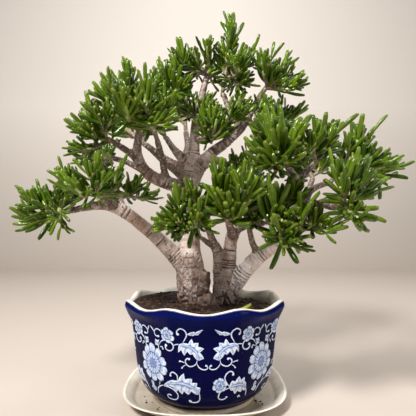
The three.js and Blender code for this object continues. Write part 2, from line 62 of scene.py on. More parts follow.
cameraSetup = {"place": (3.7, -513.0, 209.0), "pitch": 2.33, "lens": 36.09, "nearest": 0.01}
floorSetup = {"half": 3000.0, "front": -2500.0, "back": 1400.0, "bend": 500.0, "height": 3000.0, "steps": 24}
lightSetup = {  # place, size, power, and the point that each lamp aims at
    "keyLight": [(-680.0, -1020.0, 1350.0), 360.0, 50.0, (0, 0, 230)],
    "fillLight": [(1300.0, -600.0, 700.0), 1100.0, 12.0, (0, 0, 230)],
    "backLight": [(300.0, 800.0, 1500.0), 700.0, 7.0, (0, 0, 230)],
    "wallLight": [(0.0, 300.0, 2300.0), 900.0, 15.0, (0.0, 1900.0, 500.0)],
}
skySetup = {"color": (0.95, 0.90, 0.84, 1), "power": 0.13}


def addObject(name, data):
    added = bpy.data.objects.new(name, data)
    bpy.context.scene.collection.objects.link(added)
    return added


def setCamera():
    camera = addObject("camera", bpy.data.cameras.new("camera"))
    camera.location = [v * mm for v in cameraSetup["place"]]
    camera.rotation_euler = (math.radians(90 + cameraSetup["pitch"]), 0, 0)
    camera.data.lens = cameraSetup["lens"]
    camera.data.clip_start = cameraSetup["nearest"]
    bpy.context.scene.camera = camera


# A disk lamp, turned so that its -Z runs from its place to its target.
def setLight(name, place, size, power, target):
    lamp = addObject(name, bpy.data.lights.new(name, "AREA"))
    lamp.data.shape = "DISK"
    lamp.data.size = size * mm
    lamp.data.energy = power
    lamp.location = [v * mm for v in place]
    aim = np.array(target) - np.array(place)
    flat = math.hypot(aim[0], aim[1])
    lamp.rotation_euler = (math.atan2(flat, -aim[2]), 0, math.atan2(aim[1], aim[0]) - math.pi / 2)


def setSky():
    sky = bpy.data.worlds.new("sky")
    sky.use_nodes = True
    background = sky.node_tree.nodes["Background"]
    background.inputs["Color"].default_value = skySetup["color"]
    background.inputs["Strength"].default_value = skySetup["power"]
    bpy.context.scene.world = sky
    bpy.context.scene.view_settings.view_transform = "Standard"


setCamera()
for lampName, lampRow in lightSetup.items():
    setLight(lampName, *lampRow)
setSky()

noQuads = np.zeros((0, 4), int)
noTriangles = np.zeros((0, 3), int)


# Vertices in millimetres, with quads and triangles as rows of vertex numbers, become one smooth mesh object.
def makePiece(name, vertices, quads=noQuads, triangles=noTriangles, marks=None):
    mesh = bpy.data.meshes.new(name)
    mesh.from_pydata(np.asarray(vertices) * mm, [], quads.tolist() + triangles.tolist())
    mesh.shade_smooth()
    for key, numbers in (marks or {}).items():
        attribute = mesh.attributes.new(key, "FLOAT", "POINT")
        attribute.data.foreach_set("value", np.asarray(numbers, np.float32))
    return addObject(name, mesh)


# A finished piece gets its material and its body, and the node that it stands for is hidden.
def settle(piece, material, node=None):
    piece.data.materials.append(material)
    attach(piece, "root")
    if node:
        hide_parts(node)


# Unit vectors from rows of vectors.
def unit(rows):
    rows = np.asarray(rows, float)
    return rows / np.linalg.norm(rows, axis=-1, keepdims=True)


# An S-curve from 0 to 1: 3 t^2 - 2 t^3.
def eased(t):
    return t * t * (3 - 2 * t)


# A bell of height 1 round 0: exp(-(x / width)^2).
def bell(x, width):
    return np.exp(-(x / width) ** 2)


# Evenly spaced angles round a circle.
def turns(count):
    return np.arange(count) / count * 2 * math.pi


# How far each point of a line lies from its start.
def reachAlong(points):
    return np.concatenate([[0], np.cumsum(np.linalg.norm(np.diff(points, axis=0), axis=1))])


# Points of a profile joined by a smooth curve: Catmull-Rom spans, each a cubic of its two ends and their
# neighbours, with the given number of steps to a span.
def smoothWay(stations, steps):
    rows = np.asarray(stations, float)
    padded = np.concatenate([[2 * rows[0] - rows[1]], rows, [2 * rows[-1] - rows[-2]]])
    t = np.linspace(0, 1, steps, endpoint=False)[None, :, None]
    a, b, c, d = (padded[i:i + len(rows) - 1, None, :] for i in range(4))
    curve = 2 * b + (c - a) * t + (2 * a - 5 * b + 4 * c - d) * t ** 2 + (3 * b - a - 3 * c + d) * t ** 3
    return np.concatenate([0.5 * curve.reshape(-1, rows.shape[1]), rows[-1:]])


# The given number of points at even steps along a curve, and how far along each lies.
def evenly(curve, count):
    travelled = reachAlong(curve[:, :3])
    wanted = np.linspace(0, travelled[-1], count)
    return np.stack([np.interp(wanted, travelled, column) for column in curve.T], -1), wanted


# Quads of a grid of rows by columns. They face outwards where rows climb and columns go anticlockwise seen
# from above; in a closed grid the last column joins the first.
def gridQuads(rows, columns, closed=True):
    row, column = np.indices((rows - 1, columns if closed else columns - 1))
    a = row * columns + column
    b = row * columns + (column + 1) % columns
    return np.stack([a, b, b + columns, a + columns], -1).reshape(-1, 4)


# A fan that joins one ring of vertices to a pole.
def fanTriangles(ring, pole, outward=True):
    fan = np.stack([ring, np.roll(ring, -1), np.full(len(ring), pole)], -1)
    return fan if outward else fan[:, ::-1]


# Rings of points that climb from one pole to the other, with a fan round each pole.
def closedRings(rings, low, high):
    rows, columns = rings.shape[:2]
    ring, count = np.arange(columns), rows * columns
    fans = np.concatenate([fanTriangles(ring, count, False), fanTriangles(ring + count - columns, count + 1)])
    return np.concatenate([rings.reshape(-1, 3), [low], [high]]), gridQuads(rows, columns), fans


# Several meshes of [vertices, quads, triangles] as one.
def joinMeshes(parts):
    starts = np.cumsum([0] + [len(part[0]) for part in parts[:-1]])
    return [np.concatenate([part[0] for part in parts])] + [
        np.concatenate([part[kind] + start for part, start in zip(parts, starts)]) for kind in (1, 2)]


# Random numbers between 0 and 1 that belong to whole-numbered cells: a hash of the cell and the seed.
def cellRandom(cells, seed):
    x, y, z = cells.T
    mixed = x * 73856093 ^ y * 19349663 ^ z * 83492791 ^ seed * 2654435761
    mixed = (mixed ^ mixed >> 13) * 1274126177 & 0x7FFFFFFF
    return (mixed >> 7) % 65536 / 65535.0


# The cell of a lattice of the given size that each point lies in, and where in the cell. The lattice starts
# far off, so that no point has a negative cell.
def latticeCells(points, size):
    scaled = np.asarray(points, float) / size + 1000.0
    return np.floor(scaled).astype(np.int64), scaled


# Value noise from -1 to 1: random numbers on a lattice, blended smoothly between their corners.
def latticeNoise(points, size, seed):
    cell, scaled = latticeCells(points, size)
    part = eased(scaled - cell)
    total = np.zeros(len(scaled))
    for corner in range(8):
        offset = np.array([corner & 1, corner >> 1 & 1, corner >> 2 & 1])
        weight = np.prod(np.where(offset, part, 1 - part), axis=1)
        total += weight * cellRandom(cell + offset, seed)
    return total * 2 - 1


# Plates: each cell has one jittered centre, and the result is the distance to the second nearest centre less
# that to the nearest, so it is 0 on the cracks between plates.
def plateGap(points, size, seed):
    cell, scaled = latticeCells(points, size)
    first = np.full(len(scaled), 9.0)
    second = np.full(len(scaled), 9.0)
    for corner in range(27):
        at = cell + np.array([corner % 3 - 1, corner // 3 % 3 - 1, corner // 9 - 1])
        jitter = np.stack([cellRandom(at, seed + axis) for axis in range(3)], -1)
        apart = np.linalg.norm(scaled - at - 0.1 - 0.8 * jitter, axis=1)
        second = np.minimum(second, np.maximum(first, apart))
        first = np.minimum(first, apart)
    return (second - first) * size


# One material in the making: each method adds a node and gives back its output socket.
class Finish:
    def __init__(self, name, **inputs):
        self.material = bpy.data.materials.new(name)
        self.material.use_nodes = True
        self.nodes = self.material.node_tree.nodes
        self.shader = self.nodes["Principled BSDF"]
        self.place = self.nodes.new("ShaderNodeTexCoord").outputs["Object"]
        self.normal = None
        for key, value in inputs.items():
            self.feed(self.shader.inputs[key.replace("_", " ")], value)

    # a plain value or another node's output goes into a socket
    def feed(self, socket, value):
        if isinstance(value, bpy.types.NodeSocket):
            self.material.node_tree.links.new(value, socket)
        elif value is not None:
            socket.default_value = (*value, 1) if socket.type == "RGBA" else value

    # keys that aren't sockets are settings of the node
    def add(self, kind, output, **settings):
        node = self.nodes.new("ShaderNode" + kind)
        for key, value in settings.items():
            if key in node.inputs:
                self.feed(node.inputs[key], value)
            else:
                setattr(node, key, value)
        return node.outputs[output]

    def attribute(self, name):
        return self.add("Attribute", "Fac", attribute_name=name)

    # the piece's own coordinates, stretched
    def stretched(self, stretch):
        return self.add("Mapping", "Vector", Vector=self.place, Scale=stretch) if stretch else self.place

    # noise in features per metre
    def noise(self, scale, detail=4.0, roughness=0.55, stretch=None, output="Fac"):
        return self.add("TexNoise", output, Vector=self.stretched(stretch), Scale=scale, Detail=detail,
                        Roughness=roughness)

    def combine(self, operation, *values, kind="Math"):
        node = self.add(kind, 0, operation=operation).node
        for socket, value in zip(node.inputs, values):
            self.feed(socket, value)
        return node.outputs[0]

    def product(self, first, *others):
        for other in others:
            first = self.combine("MULTIPLY", first, other)
        return first

    # stops are places with a colour, or with a number for grey
    def ramp(self, value, *stops):
        color = self.add("ValToRGB", "Color", Fac=value)
        elements = color.node.color_ramp.elements
        while len(elements) < len(stops):
            elements.new(0.5)
        for element, (place, tone) in zip(elements, stops):
            element.position = place
            element.color = (*tone, 1) if isinstance(tone, tuple) else (tone, tone, tone, 1)
        return color

    def mix(self, factor, first, second, blend="MIX"):
        color = self.add("Mix", 2, data_type="RGBA", blend_type=blend)
        for number, value in ((0, factor), (6, first), (7, second)):
            self.feed(color.node.inputs[number], value)
        return color

    # each bump lies over the one before it; distances are in metres, and below 0 they sink
    def bump(self, height, strength, distance):
        self.normal = self.add("Bump", "Normal", Height=height, Strength=strength, Distance=abs(distance),
                               invert=distance < 0, Normal=self.normal)

    def done(self, color):
        self.feed(self.shader.inputs["Base Color"], color)
        self.feed(self.shader.inputs["Normal"], self.normal)
        return self.material


# A sheet that runs flat, bends through a quarter circle and rises as a backdrop: in the bend y is b sin a
# and z is b (1 - cos a).
def makeFloor():
    s = floorSetup
    turn = np.linspace(0, math.pi / 2, s["steps"])
    y = np.concatenate([[s["front"]], s["back"] + s["bend"] * np.sin(turn), [s["back"] + s["bend"]]])
    z = np.concatenate([[0.0], s["bend"] * (1 - np.cos(turn)), [s["height"]]])
    left = np.stack([np.full_like(y, -s["half"]), y, z], -1)
    rows = np.arange(len(y) - 1)
    count = len(y)
    quads = np.stack([rows, rows + count, rows + count + 1, rows + 1], -1)
    floor = makePiece("floor", np.concatenate([left, left * [-1, 1, 1]]), quads)
    pale = Finish("paleFloor", Roughness=0.55)
    height = pale.add("SeparateXYZ", "Z", Vector=pale.place)
    color = pale.ramp(height, (0.0, (0.52, 0.45, 0.39)), (0.9, (0.93, 0.86, 0.78)))
    pale.bump(pale.noise(9.0, 5.0), 0.3, 0.0008)
    floor.data.materials.append(pale.done(color))


makeFloor()
print("floor, light and camera set")

saucerShape = {"back": 20.0, "half": 98.0, "baseHalf": 78.0, "floorHalf": 83.0, "floor": 4.5, "rise": 14.0,
               "squareness": 2.8, "columns": 128, "pole": 4.0, "floorRows": 24, "baseRows": 10}
potShape = {"seat": 4.8, "lobes": 8, "lobeDepth": 0.55, "footLobes": 0.3, "softness": 0.02, "neck": 94.0,
            "soilLine": 102.0, "rimLow": 112.0, "rimWave": 6.0, "peakCut": 0.10, "peakWidth": 0.12,
            "columns": 208, "steps": 4}
# the pot's profile as [radius, height] from the foot up, over the rim, down inside and across the bottom
potOutside = [[58.5, 0], [59.3, 1.2], [59.5, 7], [60.5, 8.4], [64.5, 10.2], [69.5, 14.2], [73, 19],
              [76.8, 26], [79.5, 33], [82.1, 42], [84, 53], [85.7, 66], [87.2, 79], [88.4, 88], [89.8, 94],
              [92.3, 101], [95.4, 105.6], [97.4, 108.2], [97.7, 109.6], [96.9, 111.6]]
potRim = [[96.7, 112.9], [95.9, 113.8], [94.4, 114.2], [91.6, 113.8], [89.9, 112.0]]
potInside = [[88.2, 107], [86.2, 102], [84.5, 90], [82, 75], [78.5, 53], [73.5, 33]]
potBottom = [[57, 12.5], [7, 12], [7, 4], [52, 4], [54, 0.3]]


# Radius and height on the lobed pot. With the angle a from the middle of a lobe of half-width h, the radius r
# becomes r (1 - depth (1 - cos h / cos a)), part way from a circle to the chord of an octagon. The rim climbs
# to a rounded peak at each corner.
def lobed(angle, radius, height):
    s = potShape
    half = math.pi / s["lobes"]
    fromMiddle = angle - 2 * half * np.round(angle / (2 * half))
    fade = s["footLobes"] + (1 - s["footLobes"]) * np.clip(height / s["neck"], 0, 1)
    soft = np.sqrt(fromMiddle ** 2 + s["softness"] ** 2)
    inset = 1 - math.cos(half) / np.cos(np.minimum(soft, half))
    t = np.abs(fromMiddle) / half
    peak = 0.5 * t * t + 0.25 * (1 - np.cos(np.pi * t)) - s["peakCut"] * bell(1 - t, s["peakWidth"])
    atRim = eased(np.clip((height - s["soilLine"]) / (s["rimLow"] - s["soilLine"]), 0, 1))
    return radius * (1 - s["lobeDepth"] * fade * inset), height + s["rimWave"] * peak * atRim


# The plan circle becomes a rounded square: the radius is divided by the n-norm of its direction.
def squared(angle, radius, height):
    n = saucerShape["squareness"]
    grow = (np.abs(np.cos(angle)) ** n + np.abs(np.sin(angle)) ** n) ** (-1 / n)
    return radius * grow, height + 0 * angle


# Places at the given angle from the front, radius and height: (r sin a, -r cos a, height).
def around(angle, radius, height):
    return np.stack([radius * np.sin(angle), -radius * np.cos(angle), height], -1)


# A profile of [radius, height] turned round the axis, as rings that shape(angle, radius, height) moves.
def turned(profile, columns, shape):
    radius, height = shape(turns(columns)[None, :], profile[:, None, 0], profile[:, None, 1])
    return around(turns(columns), radius, np.broadcast_to(height, radius.shape))


# Cobalt glaze outside, cream over the rim where it thins, celadon inside and bare clay on the foot.
def potGlaze():
    glaze = Finish("cobaltGlaze", Roughness=0.10, Specular_IOR_Level=0.04)
    blue = (0.0008, 0.0012, 0.029)
    cream = (0.72, 0.68, 0.58)
    celadon = (0.36, 0.37, 0.30)
    clay = (0.42, 0.35, 0.25)
    mark = glaze.combine("MULTIPLY_ADD", glaze.noise(60.0, 3.0), 1.2, glaze.attribute("mark"))
    share = glaze.add("MapRange", "Result", **{"Value": mark, "From Min": -40.0, "From Max": 160.0})
    # below the cream a painted reflection: a lighter blue band under the rim that fades into the cobalt
    zonesWithPaintedLight = glaze.ramp(
        share, (0.0, celadon), (0.138, celadon), (0.156, cream), (0.211, cream), (0.2155, (0.02, 0.03, 0.09)),
        (0.219, (0.002, 0.004, 0.03)), (0.226, (0.002, 0.005, 0.070)), (0.32, blue), (0.793, blue),
        (0.806, (0.02, 0.02, 0.04)), (0.814, clay))
    cloud = glaze.ramp(glaze.noise(38.0, 5.0), (0.3, (0.72, 0.76, 0.86)), (0.7, (1.25, 1.2, 1.18)))
    specks = glaze.ramp(glaze.noise(420.0, 2.0), (0.0, 0), (0.735, 0), (0.76, 1))
    glaze.bump(glaze.noise(55.0, 2.0), 0.25, 0.0012)
    return glaze.done(glaze.mix(specks, glaze.mix(1.0, zonesWithPaintedLight, cloud, "MULTIPLY"), (0.10, 0.055, 0.03)))


# The profile runs up the outside, over the rim and down the inside in smooth curves, then across the bottom
# and the foot back to where it began.
def makePot():
    steps, columns = potShape["steps"], potShape["columns"]
    outside = smoothWay(potOutside, steps)
    rim = smoothWay([potOutside[-1], *potRim], steps)[1:]
    inside = smoothWay([potRim[-1], *potInside], steps)[1:]
    profile = np.concatenate([outside, rim, inside, potBottom])
    # the mark is the way along the profile from the top of the rim: outside above 0, inside below
    travelled = reachAlong(profile)
    marks = travelled[len(outside) + len(rim) // 2] - travelled
    rings = turned(profile, columns, lobed) + [0, 0, potShape["seat"]]
    # the last ring joins the first
    quads = gridQuads(len(profile) + 1, columns) % (len(profile) * columns)
    pot = makePiece("glazedPot", rings.reshape(-1, 3), quads, marks={"mark": np.repeat(marks, columns)})
    settle(pot, potGlaze(), "pot")


# Cream glaze, lightest on the rim, with painted shade that darkens the inner flare and the floor of the dish
# under the pot, darker under the base as well, and faint stains.
def saucerGlaze():
    glaze = Finish("creamGlaze", Roughness=0.28, Coat_Weight=0.35, Coat_Roughness=0.12)
    # painted shade: the ramp darkens from the rim down the inner flare to the floor of the dish, under the
    # pot
    zonesWithPaintedLight = glaze.ramp(glaze.attribute("mark"), (0.0, (0.60, 0.54, 0.45)), (0.45, (0.74, 0.69, 0.61)),
                       (0.60, (0.84, 0.81, 0.74)), (0.75, (0.66, 0.60, 0.51)), (1.0, (0.38, 0.32, 0.25)))
    stain = glaze.noise(34.0, 6.0, 0.65)
    tone = glaze.ramp(stain, (0.35, (0.80, 0.76, 0.70)), (0.62, (1.08, 1.06, 1.04)))
    glaze.bump(stain, 0.2, 0.0006)
    return glaze.done(glaze.mix(1.0, zonesWithPaintedLight, tone, "MULTIPLY"))


# The profile starts at a small ring under the base, runs out and up the flare, over the lip and back in to a
# small ring on the floor of the dish; a pole closes each ring.
def makeSaucer():
    s = saucerShape
    half, base, flat, rise = s["half"], s["baseHalf"], s["floorHalf"], s["rise"]
    flare = smoothWay([
        [base - 3, 0], [base, 0.1], [base + 3, 1.7], [base + 8, 5.2], [half - 7, 8.8], [half - 3, 11.5],
        [half - 0.7, 12.8], [half, 13.4], [half - 0.4, 13.9], [half - 1.5, rise], [half - 2.9, 13.7],
        [half - 4.6, 12.5], [half - 8, 10.4], [half - 11, 8.0], [flat + 1.5, 5.6], [flat - 1, 4.7],
        [flat - 5, s["floor"]]], 5)
    under = np.linspace([s["pole"], 0], [base - 6, 0], s["baseRows"])
    inner = np.linspace([flat - 8, s["floor"]], [s["pole"], s["floor"]], s["floorRows"])
    # the mark runs from 0 under the base to 1 on the floor of the dish
    marks = np.concatenate([np.zeros(len(under)), np.linspace(0, 1, len(flare)), np.ones(len(inner))])
    rings = turned(np.concatenate([under, flare, inner]), s["columns"], squared) + [0, s["back"], 0]
    dish = makePiece("saucerDish", *closedRings(rings, [0, s["back"], 0], [0, s["back"], s["floor"]]),
                     {"mark": np.append(np.repeat(marks, s["columns"]), [0, 1])})
    settle(dish, saucerGlaze(), "saucer")


makePot()
makeSaucer()
print("pot and saucer made")

# The ornament is laid out on the unrolled wall: millimetres round from the middle of a panel at the radius
# given, and millimetres above the foot. It is repeated on four panels.
paintShape = {"radius": 84.0, "panels": 4, "turn": 3.0, "lift": 0.24, "sunk": -0.12, "step": 0.9,
              "spanSteps": 16, "strokeColumns": 5, "leafRows": 80, "leafColumns": 13}
flowerShape = {"large": [30, 160, 5, 18], "small": [18, 72, 3, 8]}  # rows, columns, hatches to a petal, seeds

# strokes: half-width, radius of the ball at the far end, and the points of the line
mirroredStrokes = [
    [0.72, 1.7, [26.3, 84.2], [23.4, 88.9], [22.2, 92.4], [23.0, 96.0], [25.5, 98.5], [28.0, 99.0],
     [30.5, 97.4], [31.5, 95.3], [30.9, 93.2], [29.2, 92.3]],
    [0.75, 1.6, [49.0, 91.0], [50.4, 93.8], [53.4, 95.6], [57.0, 95.2], [60.0, 92.6], [60.4, 89.8],
     [58.4, 87.6], [54.8, 87.8], [54.0, 89.0]],
    [0.75, 1.9, [54.4, 78.4], [53.0, 81.4], [49.8, 84.0], [45.8, 85.2], [40.8, 84.9], [37.2, 83.1],
     [35.8, 79.9], [37.0, 76.7], [40.2, 74.9], [43.8, 75.3], [45.8, 77.4], [45.2, 79.6], [43.0, 80.2]],
    [0.85, 0.0, [35.6, 81.4], [32.3, 82.2], [28.8, 82.6]],
    [0.70, 1.5, [12.0, 66.6], [12.7, 63.1], [15.9, 60.6], [19.5, 59.9], [22.7, 61.7], [24.1, 64.9],
     [23.0, 67.4], [20.9, 68.1], [19.2, 66.4]],
    [0.70, 1.1, [24.6, 63.4], [28.0, 64.8], [31.0, 64.9]],
    [0.70, 1.0, [23.6, 61.6], [26.4, 59.8], [28.4, 57.1]],
    [0.72, 1.3, [12.2, 63.4], [10.8, 60.3], [8.4, 57.9], [5.2, 56.8], [2.2, 57.2], [0.9, 59.0], [2.2, 60.8],
     [3.9, 60.9]],
    [1.10, 0.0, [60.4, 91.6], [62.6, 94.6], [65.2, 98.0]],
    [0.95, 0.0, [55.9, 79.4], [55.4, 76.4], [55.6, 73.6]],
    [0.95, 1.0, [53.6, 76.4], [50.6, 77.6], [49.4, 75.6], [49.2, 74.0]]]
plainStrokes = [
    [0.72, 1.5, [-33.6, 43.6], [-33.2, 48.9], [-35.2, 51.6], [-38.0, 52.8], [-40.9, 51.0], [-41.4, 48.9],
     [-39.9, 47.8]],
    [0.78, 2.1, [-10.4, 32.6], [-9.7, 27.4], [-10.2, 23.1], [-13.0, 20.3], [-18.0, 19.6], [-21.4, 21.0],
     [-21.8, 23.0]],
    [0.75, 1.3, [-53.4, 35.2], [-43.8, 34.8], [-38.0, 32.4], [-35.2, 28.9], [-35.2, 25.3], [-38.0, 21.9],
     [-43.0, 20.6], [-48.4, 21.2], [-50.4, 23.8], [-47.4, 26.0], [-43.4, 25.6]],
    [0.85, 0.0, [-53.0, 35.8], [-60.2, 32.4], [-64.4, 28.1], [-66.4, 22.1]],
    [0.60, 0.0, [-57.0, 41.0], [-58.2, 37.0], [-60.0, 33.4]],
    [0.78, 1.5, [22.6, 38.0], [18.9, 43.1], [17.4, 47.4], [18.8, 51.4], [22.0, 53.9], [25.0, 53.6],
     [26.4, 51.4], [25.2, 49.4]],
    [0.78, 1.5, [23.6, 36.6], [19.5, 34.9], [15.8, 34.0], [12.7, 31.0], [11.6, 26.7], [13.2, 23.7],
     [17.3, 22.9], [20.9, 24.7], [21.0, 27.0]],
    [0.80, 0.0, [40.8, 36.6], [44.4, 33.4], [46.8, 28.9], [48.4, 21.6]],
    [1.00, 1.7, [40.4, 22.4], [38.0, 24.4], [35.4, 23.6]]]
# leaves: midrib, then the outline of each side as tip, notch, tip and so on, the left-hand side first
mirroredLeaves = [
    [[[30.0, 82.3], [26.0, 82.0], [20.2, 80.6], [15.2, 77.4], [12.0, 73.1], [10.6, 66.0]],
     [[31.2, 72.8], [28.0, 76.6], [25.2, 70.0], [22.0, 75.0], [19.2, 71.6], [16.6, 72.6], [13.8, 68.4]],
     [[25.4, 84.2], [20.6, 83.6], [16.8, 89.4], [15.2, 84.2], [9.8, 85.0], [10.6, 80.8], [3.8, 78.8],
      [8.8, 74.6], [4.2, 68.4]]],
    [[[22.0, 93.2], [17.0, 93.8], [12.6, 94.2], [10.0, 95.2], [5.6, 98.6]],
     [[15.4, 91.4], [14.0, 92.6], [10.6, 92.4], [9.6, 93.8], [8.4, 95.0]],
     [[14.6, 96.4], [13.2, 95.4], [8.6, 97.6]]],
    [[[55.8, 79.4], [57.6, 80.6], [60.4, 81.8]],
     [[56.4, 76.0], [57.4, 77.4], [60.6, 77.4]], [[53.4, 84.6], [56.0, 83.6], [59.8, 84.4]]]]
plainLeaves = [
    [[[-52.0, 36.4], [-43.8, 39.2], [-34.5, 41.7], [-26.6, 41.4], [-18.8, 38.5], [-13.8, 35.3],
     [-10.0, 30.6]],
     [[-39.0, 44.6], [-33.4, 44.2], [-26.0, 53.6], [-25.0, 46.6], [-17.2, 47.6], [-17.8, 42.8],
      [-11.6, 43.0], [-12.8, 38.6], [-8.4, 37.6]],
     [[-43.0, 36.0], [-39.6, 35.6], [-35.6, 30.6], [-33.6, 33.4], [-30.0, 27.8], [-27.4, 32.0],
      [-22.6, 28.2], [-19.0, 32.8], [-12.8, 29.0]]],
    [[[22.6, 37.4], [28.0, 38.4], [34.0, 38.6], [40.8, 36.6], [45.6, 32.4]],
     [[25.4, 44.6], [29.0, 43.0], [33.8, 48.4], [37.0, 43.2], [41.6, 46.2], [42.0, 41.0], [44.6, 38.6]],
     [[25.6, 32.2], [27.8, 32.4], [30.6, 27.2], [33.8, 30.8], [38.6, 28.2], [40.0, 31.4], [45.2, 28.6]]],
    [[[-69.8, 24.6], [-71.2, 29.0], [-72.4, 37.0]],
     [[-76.4, 28.0], [-73.6, 31.0], [-74.0, 34.6]], [[-66.2, 28.8], [-69.8, 31.2], [-69.0, 35.2]]]]
# flowers: centre, radius, petals, turn in degrees
mirroredFlowers = [[[42.6, 91.0], 8.6, 6, 15]]
plainFlowers = [[[-65.97, 57.0], 21.0, 10, 0], [[12.4, 39.4], 8.4, 6, 30]]


# How far a sheet stands off the wall: raised by 1 - |across|^6 in the middle, sunk at its edges and ends.
def cushion(across, rows):
    sunk, lift = paintShape["sunk"], paintShape["lift"]
    stand = sunk + (lift - sunk) * (1 - np.abs(across) ** 6) * np.ones((rows, 1))
    stand[[0, -1]] = sunk
    return stand


# Each sheet is a grid of places on the unrolled wall, how far each stands off it, and how dark its ink is.
# A stroke swells from its start and has a round ball of radius r on its end: half-width there is the root of
# r^2 less the square of the way from the ball's centre.
def strokeSheet(halfWidth, ball, *points):
    curve = smoothWay(points, paintShape["spanSteps"])
    line, travelled = evenly(curve, max(int(reachAlong(curve)[-1] / paintShape["step"]), 10))
    left = travelled[-1] - travelled
    wide = halfWidth * (0.45 + 0.55 * np.clip(travelled / 6, 0, 1))
    if ball:
        wide = np.maximum(wide * (left > ball), np.sqrt(np.clip(ball ** 2 - (left - ball) ** 2, 0.01, None)))
    else:
        wide = wide * np.clip(left / 3, 0.1, 1)
    ahead = unit(np.gradient(line, axis=0))
    aside = np.stack([-ahead[:, 1], ahead[:, 0]], -1)
    across = np.linspace(-1, 1, paintShape["strokeColumns"])
    place = line[:, None] + aside[:, None] * (across * wide[:, None])[..., None]
    return place, cushion(across, len(line)), np.broadcast_to(0.22 * np.abs(across) ** 2, place.shape[:2])


# One side of a toothed leaf: from each notch the outline climbs in a bulging curve to the next tip, and it
# drops straight back to the notch after that. The vein is inked where it meets a tip.
def leafEdge(line, hand, outline):
    t = np.linspace(0, 1, len(line))
    outline = np.array(outline)
    notches = np.concatenate([line[:1], outline[1::2], line[-1:]])
    foot = [0.0] + [t[np.argmin(np.linalg.norm(line - notch, axis=1))] for notch in outline[1::2]] + [1.0]
    edge, vein = line.copy(), np.zeros(len(line))
    for i, tip in enumerate(outline[::2]):
        share = (t - foot[i]) / max(foot[i + 1] - foot[i], 1e-3)
        mine = (share >= 0) & (share <= 1)
        rise = np.clip(share / 0.76, 0, 1)[mine, None]
        fall = np.clip((share - 0.76) / 0.24, 0, 1)[mine, None]
        climb = tip - notches[i]
        bulge = hand * np.array([-climb[1], climb[0]]) * 0.06 * np.sin(math.pi * rise)
        edge[mine] = notches[i] + climb * rise + bulge + (notches[i + 1] - tip) * fall
        vein[mine] = bell(share[mine] - 0.62, 0.09)
    return edge, vein


# A toothed leaf: rows run straight from the midrib to the outline, with ribs beside the middle.
def leafSheet(points, *sides):
    rows = paintShape["leafRows"]
    line = evenly(smoothWay(points, paintShape["spanSteps"]), rows)[0]
    (leftEdge, leftVein), (rightEdge, rightVein) = (leafEdge(line, *side) for side in zip((1, -1), sides))
    across = np.linspace(-1, 1, paintShape["leafColumns"])
    away = np.abs(across)[None]
    nearer = np.where(across[None, :, None] > 0, leftEdge[:, None], rightEdge[:, None])
    place = line[:, None] + away[..., None] * (nearer - line[:, None])
    vein = np.where(across > 0, leftVein[:, None], rightVein[:, None]) * (away > 0.1) * (away < 0.8)
    rib = bell(away - 0.14, 0.045) * (np.linspace(0, 1, rows)[:, None] > 0.06)
    shade = 0.10 * (away > 0.15) * (away < 0.5) * np.ones_like(rib)
    return place, cushion(across, rows), np.maximum.reduce([0.45 * vein, 0.9 * rib, shade])


# A flower of open petals round a seeded eye: edge radius = R (0.72 + 0.28 |sin(n a / 2)| ^ 0.5), less a
# notch at the end of each petal.
def flowerSheet(centre, radius, petals, turn):
    size = "large" if radius > 12 else "small"
    rows, columns, hatches, seedRows = flowerShape[size]
    share = np.linspace(0.02, 1, rows)[:, None]
    angle = np.arange(columns + 1)[None, :] / columns * 2 * math.pi
    petal = np.abs(np.sin(petals * angle / 2 + math.radians(turn)))
    inner = np.abs(np.cos(petals * angle / 2 + math.radians(turn)))
    uneven = 0.04 * np.cos(3 * angle + 1) + 0.03 * np.cos(7 * angle)
    away = share * radius * (0.72 + 0.28 * petal ** 0.5 - 0.06 * bell(inner, 0.16) + uneven * share)
    place = np.stack([centre[0] + away * np.cos(angle), centre[1] + away * np.sin(angle)], -1)
    stand = np.full(away.shape, paintShape["lift"]) + 0.25 * bell(share, 0.3)
    stand[-1] = paintShape["sunk"]
    inks = [
        bell(petal * share, 0.16) * (share > 0.46),  # seams between the petals
        bell(share - 0.50 - 0.12 * inner, 0.03),  # their lower lips
        bell(inner, 0.14) * (share > 0.28) * (share < 0.60),
        (0.28 + 0.28 * np.cos(petals * angle * hatches)) * bell(share - 0.66, 0.10),  # hatching
        0.16 * (share < 0.52) + 0 * angle,
        0.9 * bell(share - 0.27, 0.03) + 0 * angle,  # ring round the eye
        (0.55 + 0.4 * np.cos(angle * seedRows) * np.cos(share * 60)) * (share < 0.25),  # seeds
        0.35 * bell(share - 0.94, 0.03) + 0 * angle]  # rim
    return place, stand, np.maximum.reduce(inks)


# Places on the pot's outside for rows of (round, above the foot), pushed out along the wall's normal.
def ontoPot(place, stand):
    outside = smoothWay(potOutside, 12)

    def wall(angle, height):
        radius, _ = lobed(angle, np.interp(height, outside[:, 1], outside[:, 0]), height)
        return around(angle, radius, height + potShape["seat"])
    angle, height = place[..., 0] / paintShape["radius"], place[..., 1]
    turn, rise = 0.004, 0.3
    normal = unit(np.cross(wall(angle + turn, height) - wall(angle - turn, height),
                           wall(angle, height + rise) - wall(angle, height - rise)))
    return wall(angle, height) + normal * stand[..., None]


# Milk-white enamel with cobalt drawing.
def paintMaterial():
    enamel = Finish("whiteEnamel", Roughness=0.25)
    tone = enamel.ramp(enamel.attribute("ink"), (0.0, (0.60, 0.65, 0.72)), (0.30, (0.34, 0.42, 0.56)),
                       (0.62, (0.10, 0.16, 0.38)), (1.0, (0.008, 0.014, 0.11)))
    wash = enamel.noise(300.0, 3.0)
    washes = enamel.ramp(wash, (0.35, (0.70, 0.77, 0.90)), (0.60, (1.05, 1.05, 1.05)))
    enamel.bump(wash, 0.3, 0.0003)
    return enamel.done(enamel.mix(1.0, tone, washes, "MULTIPLY"))


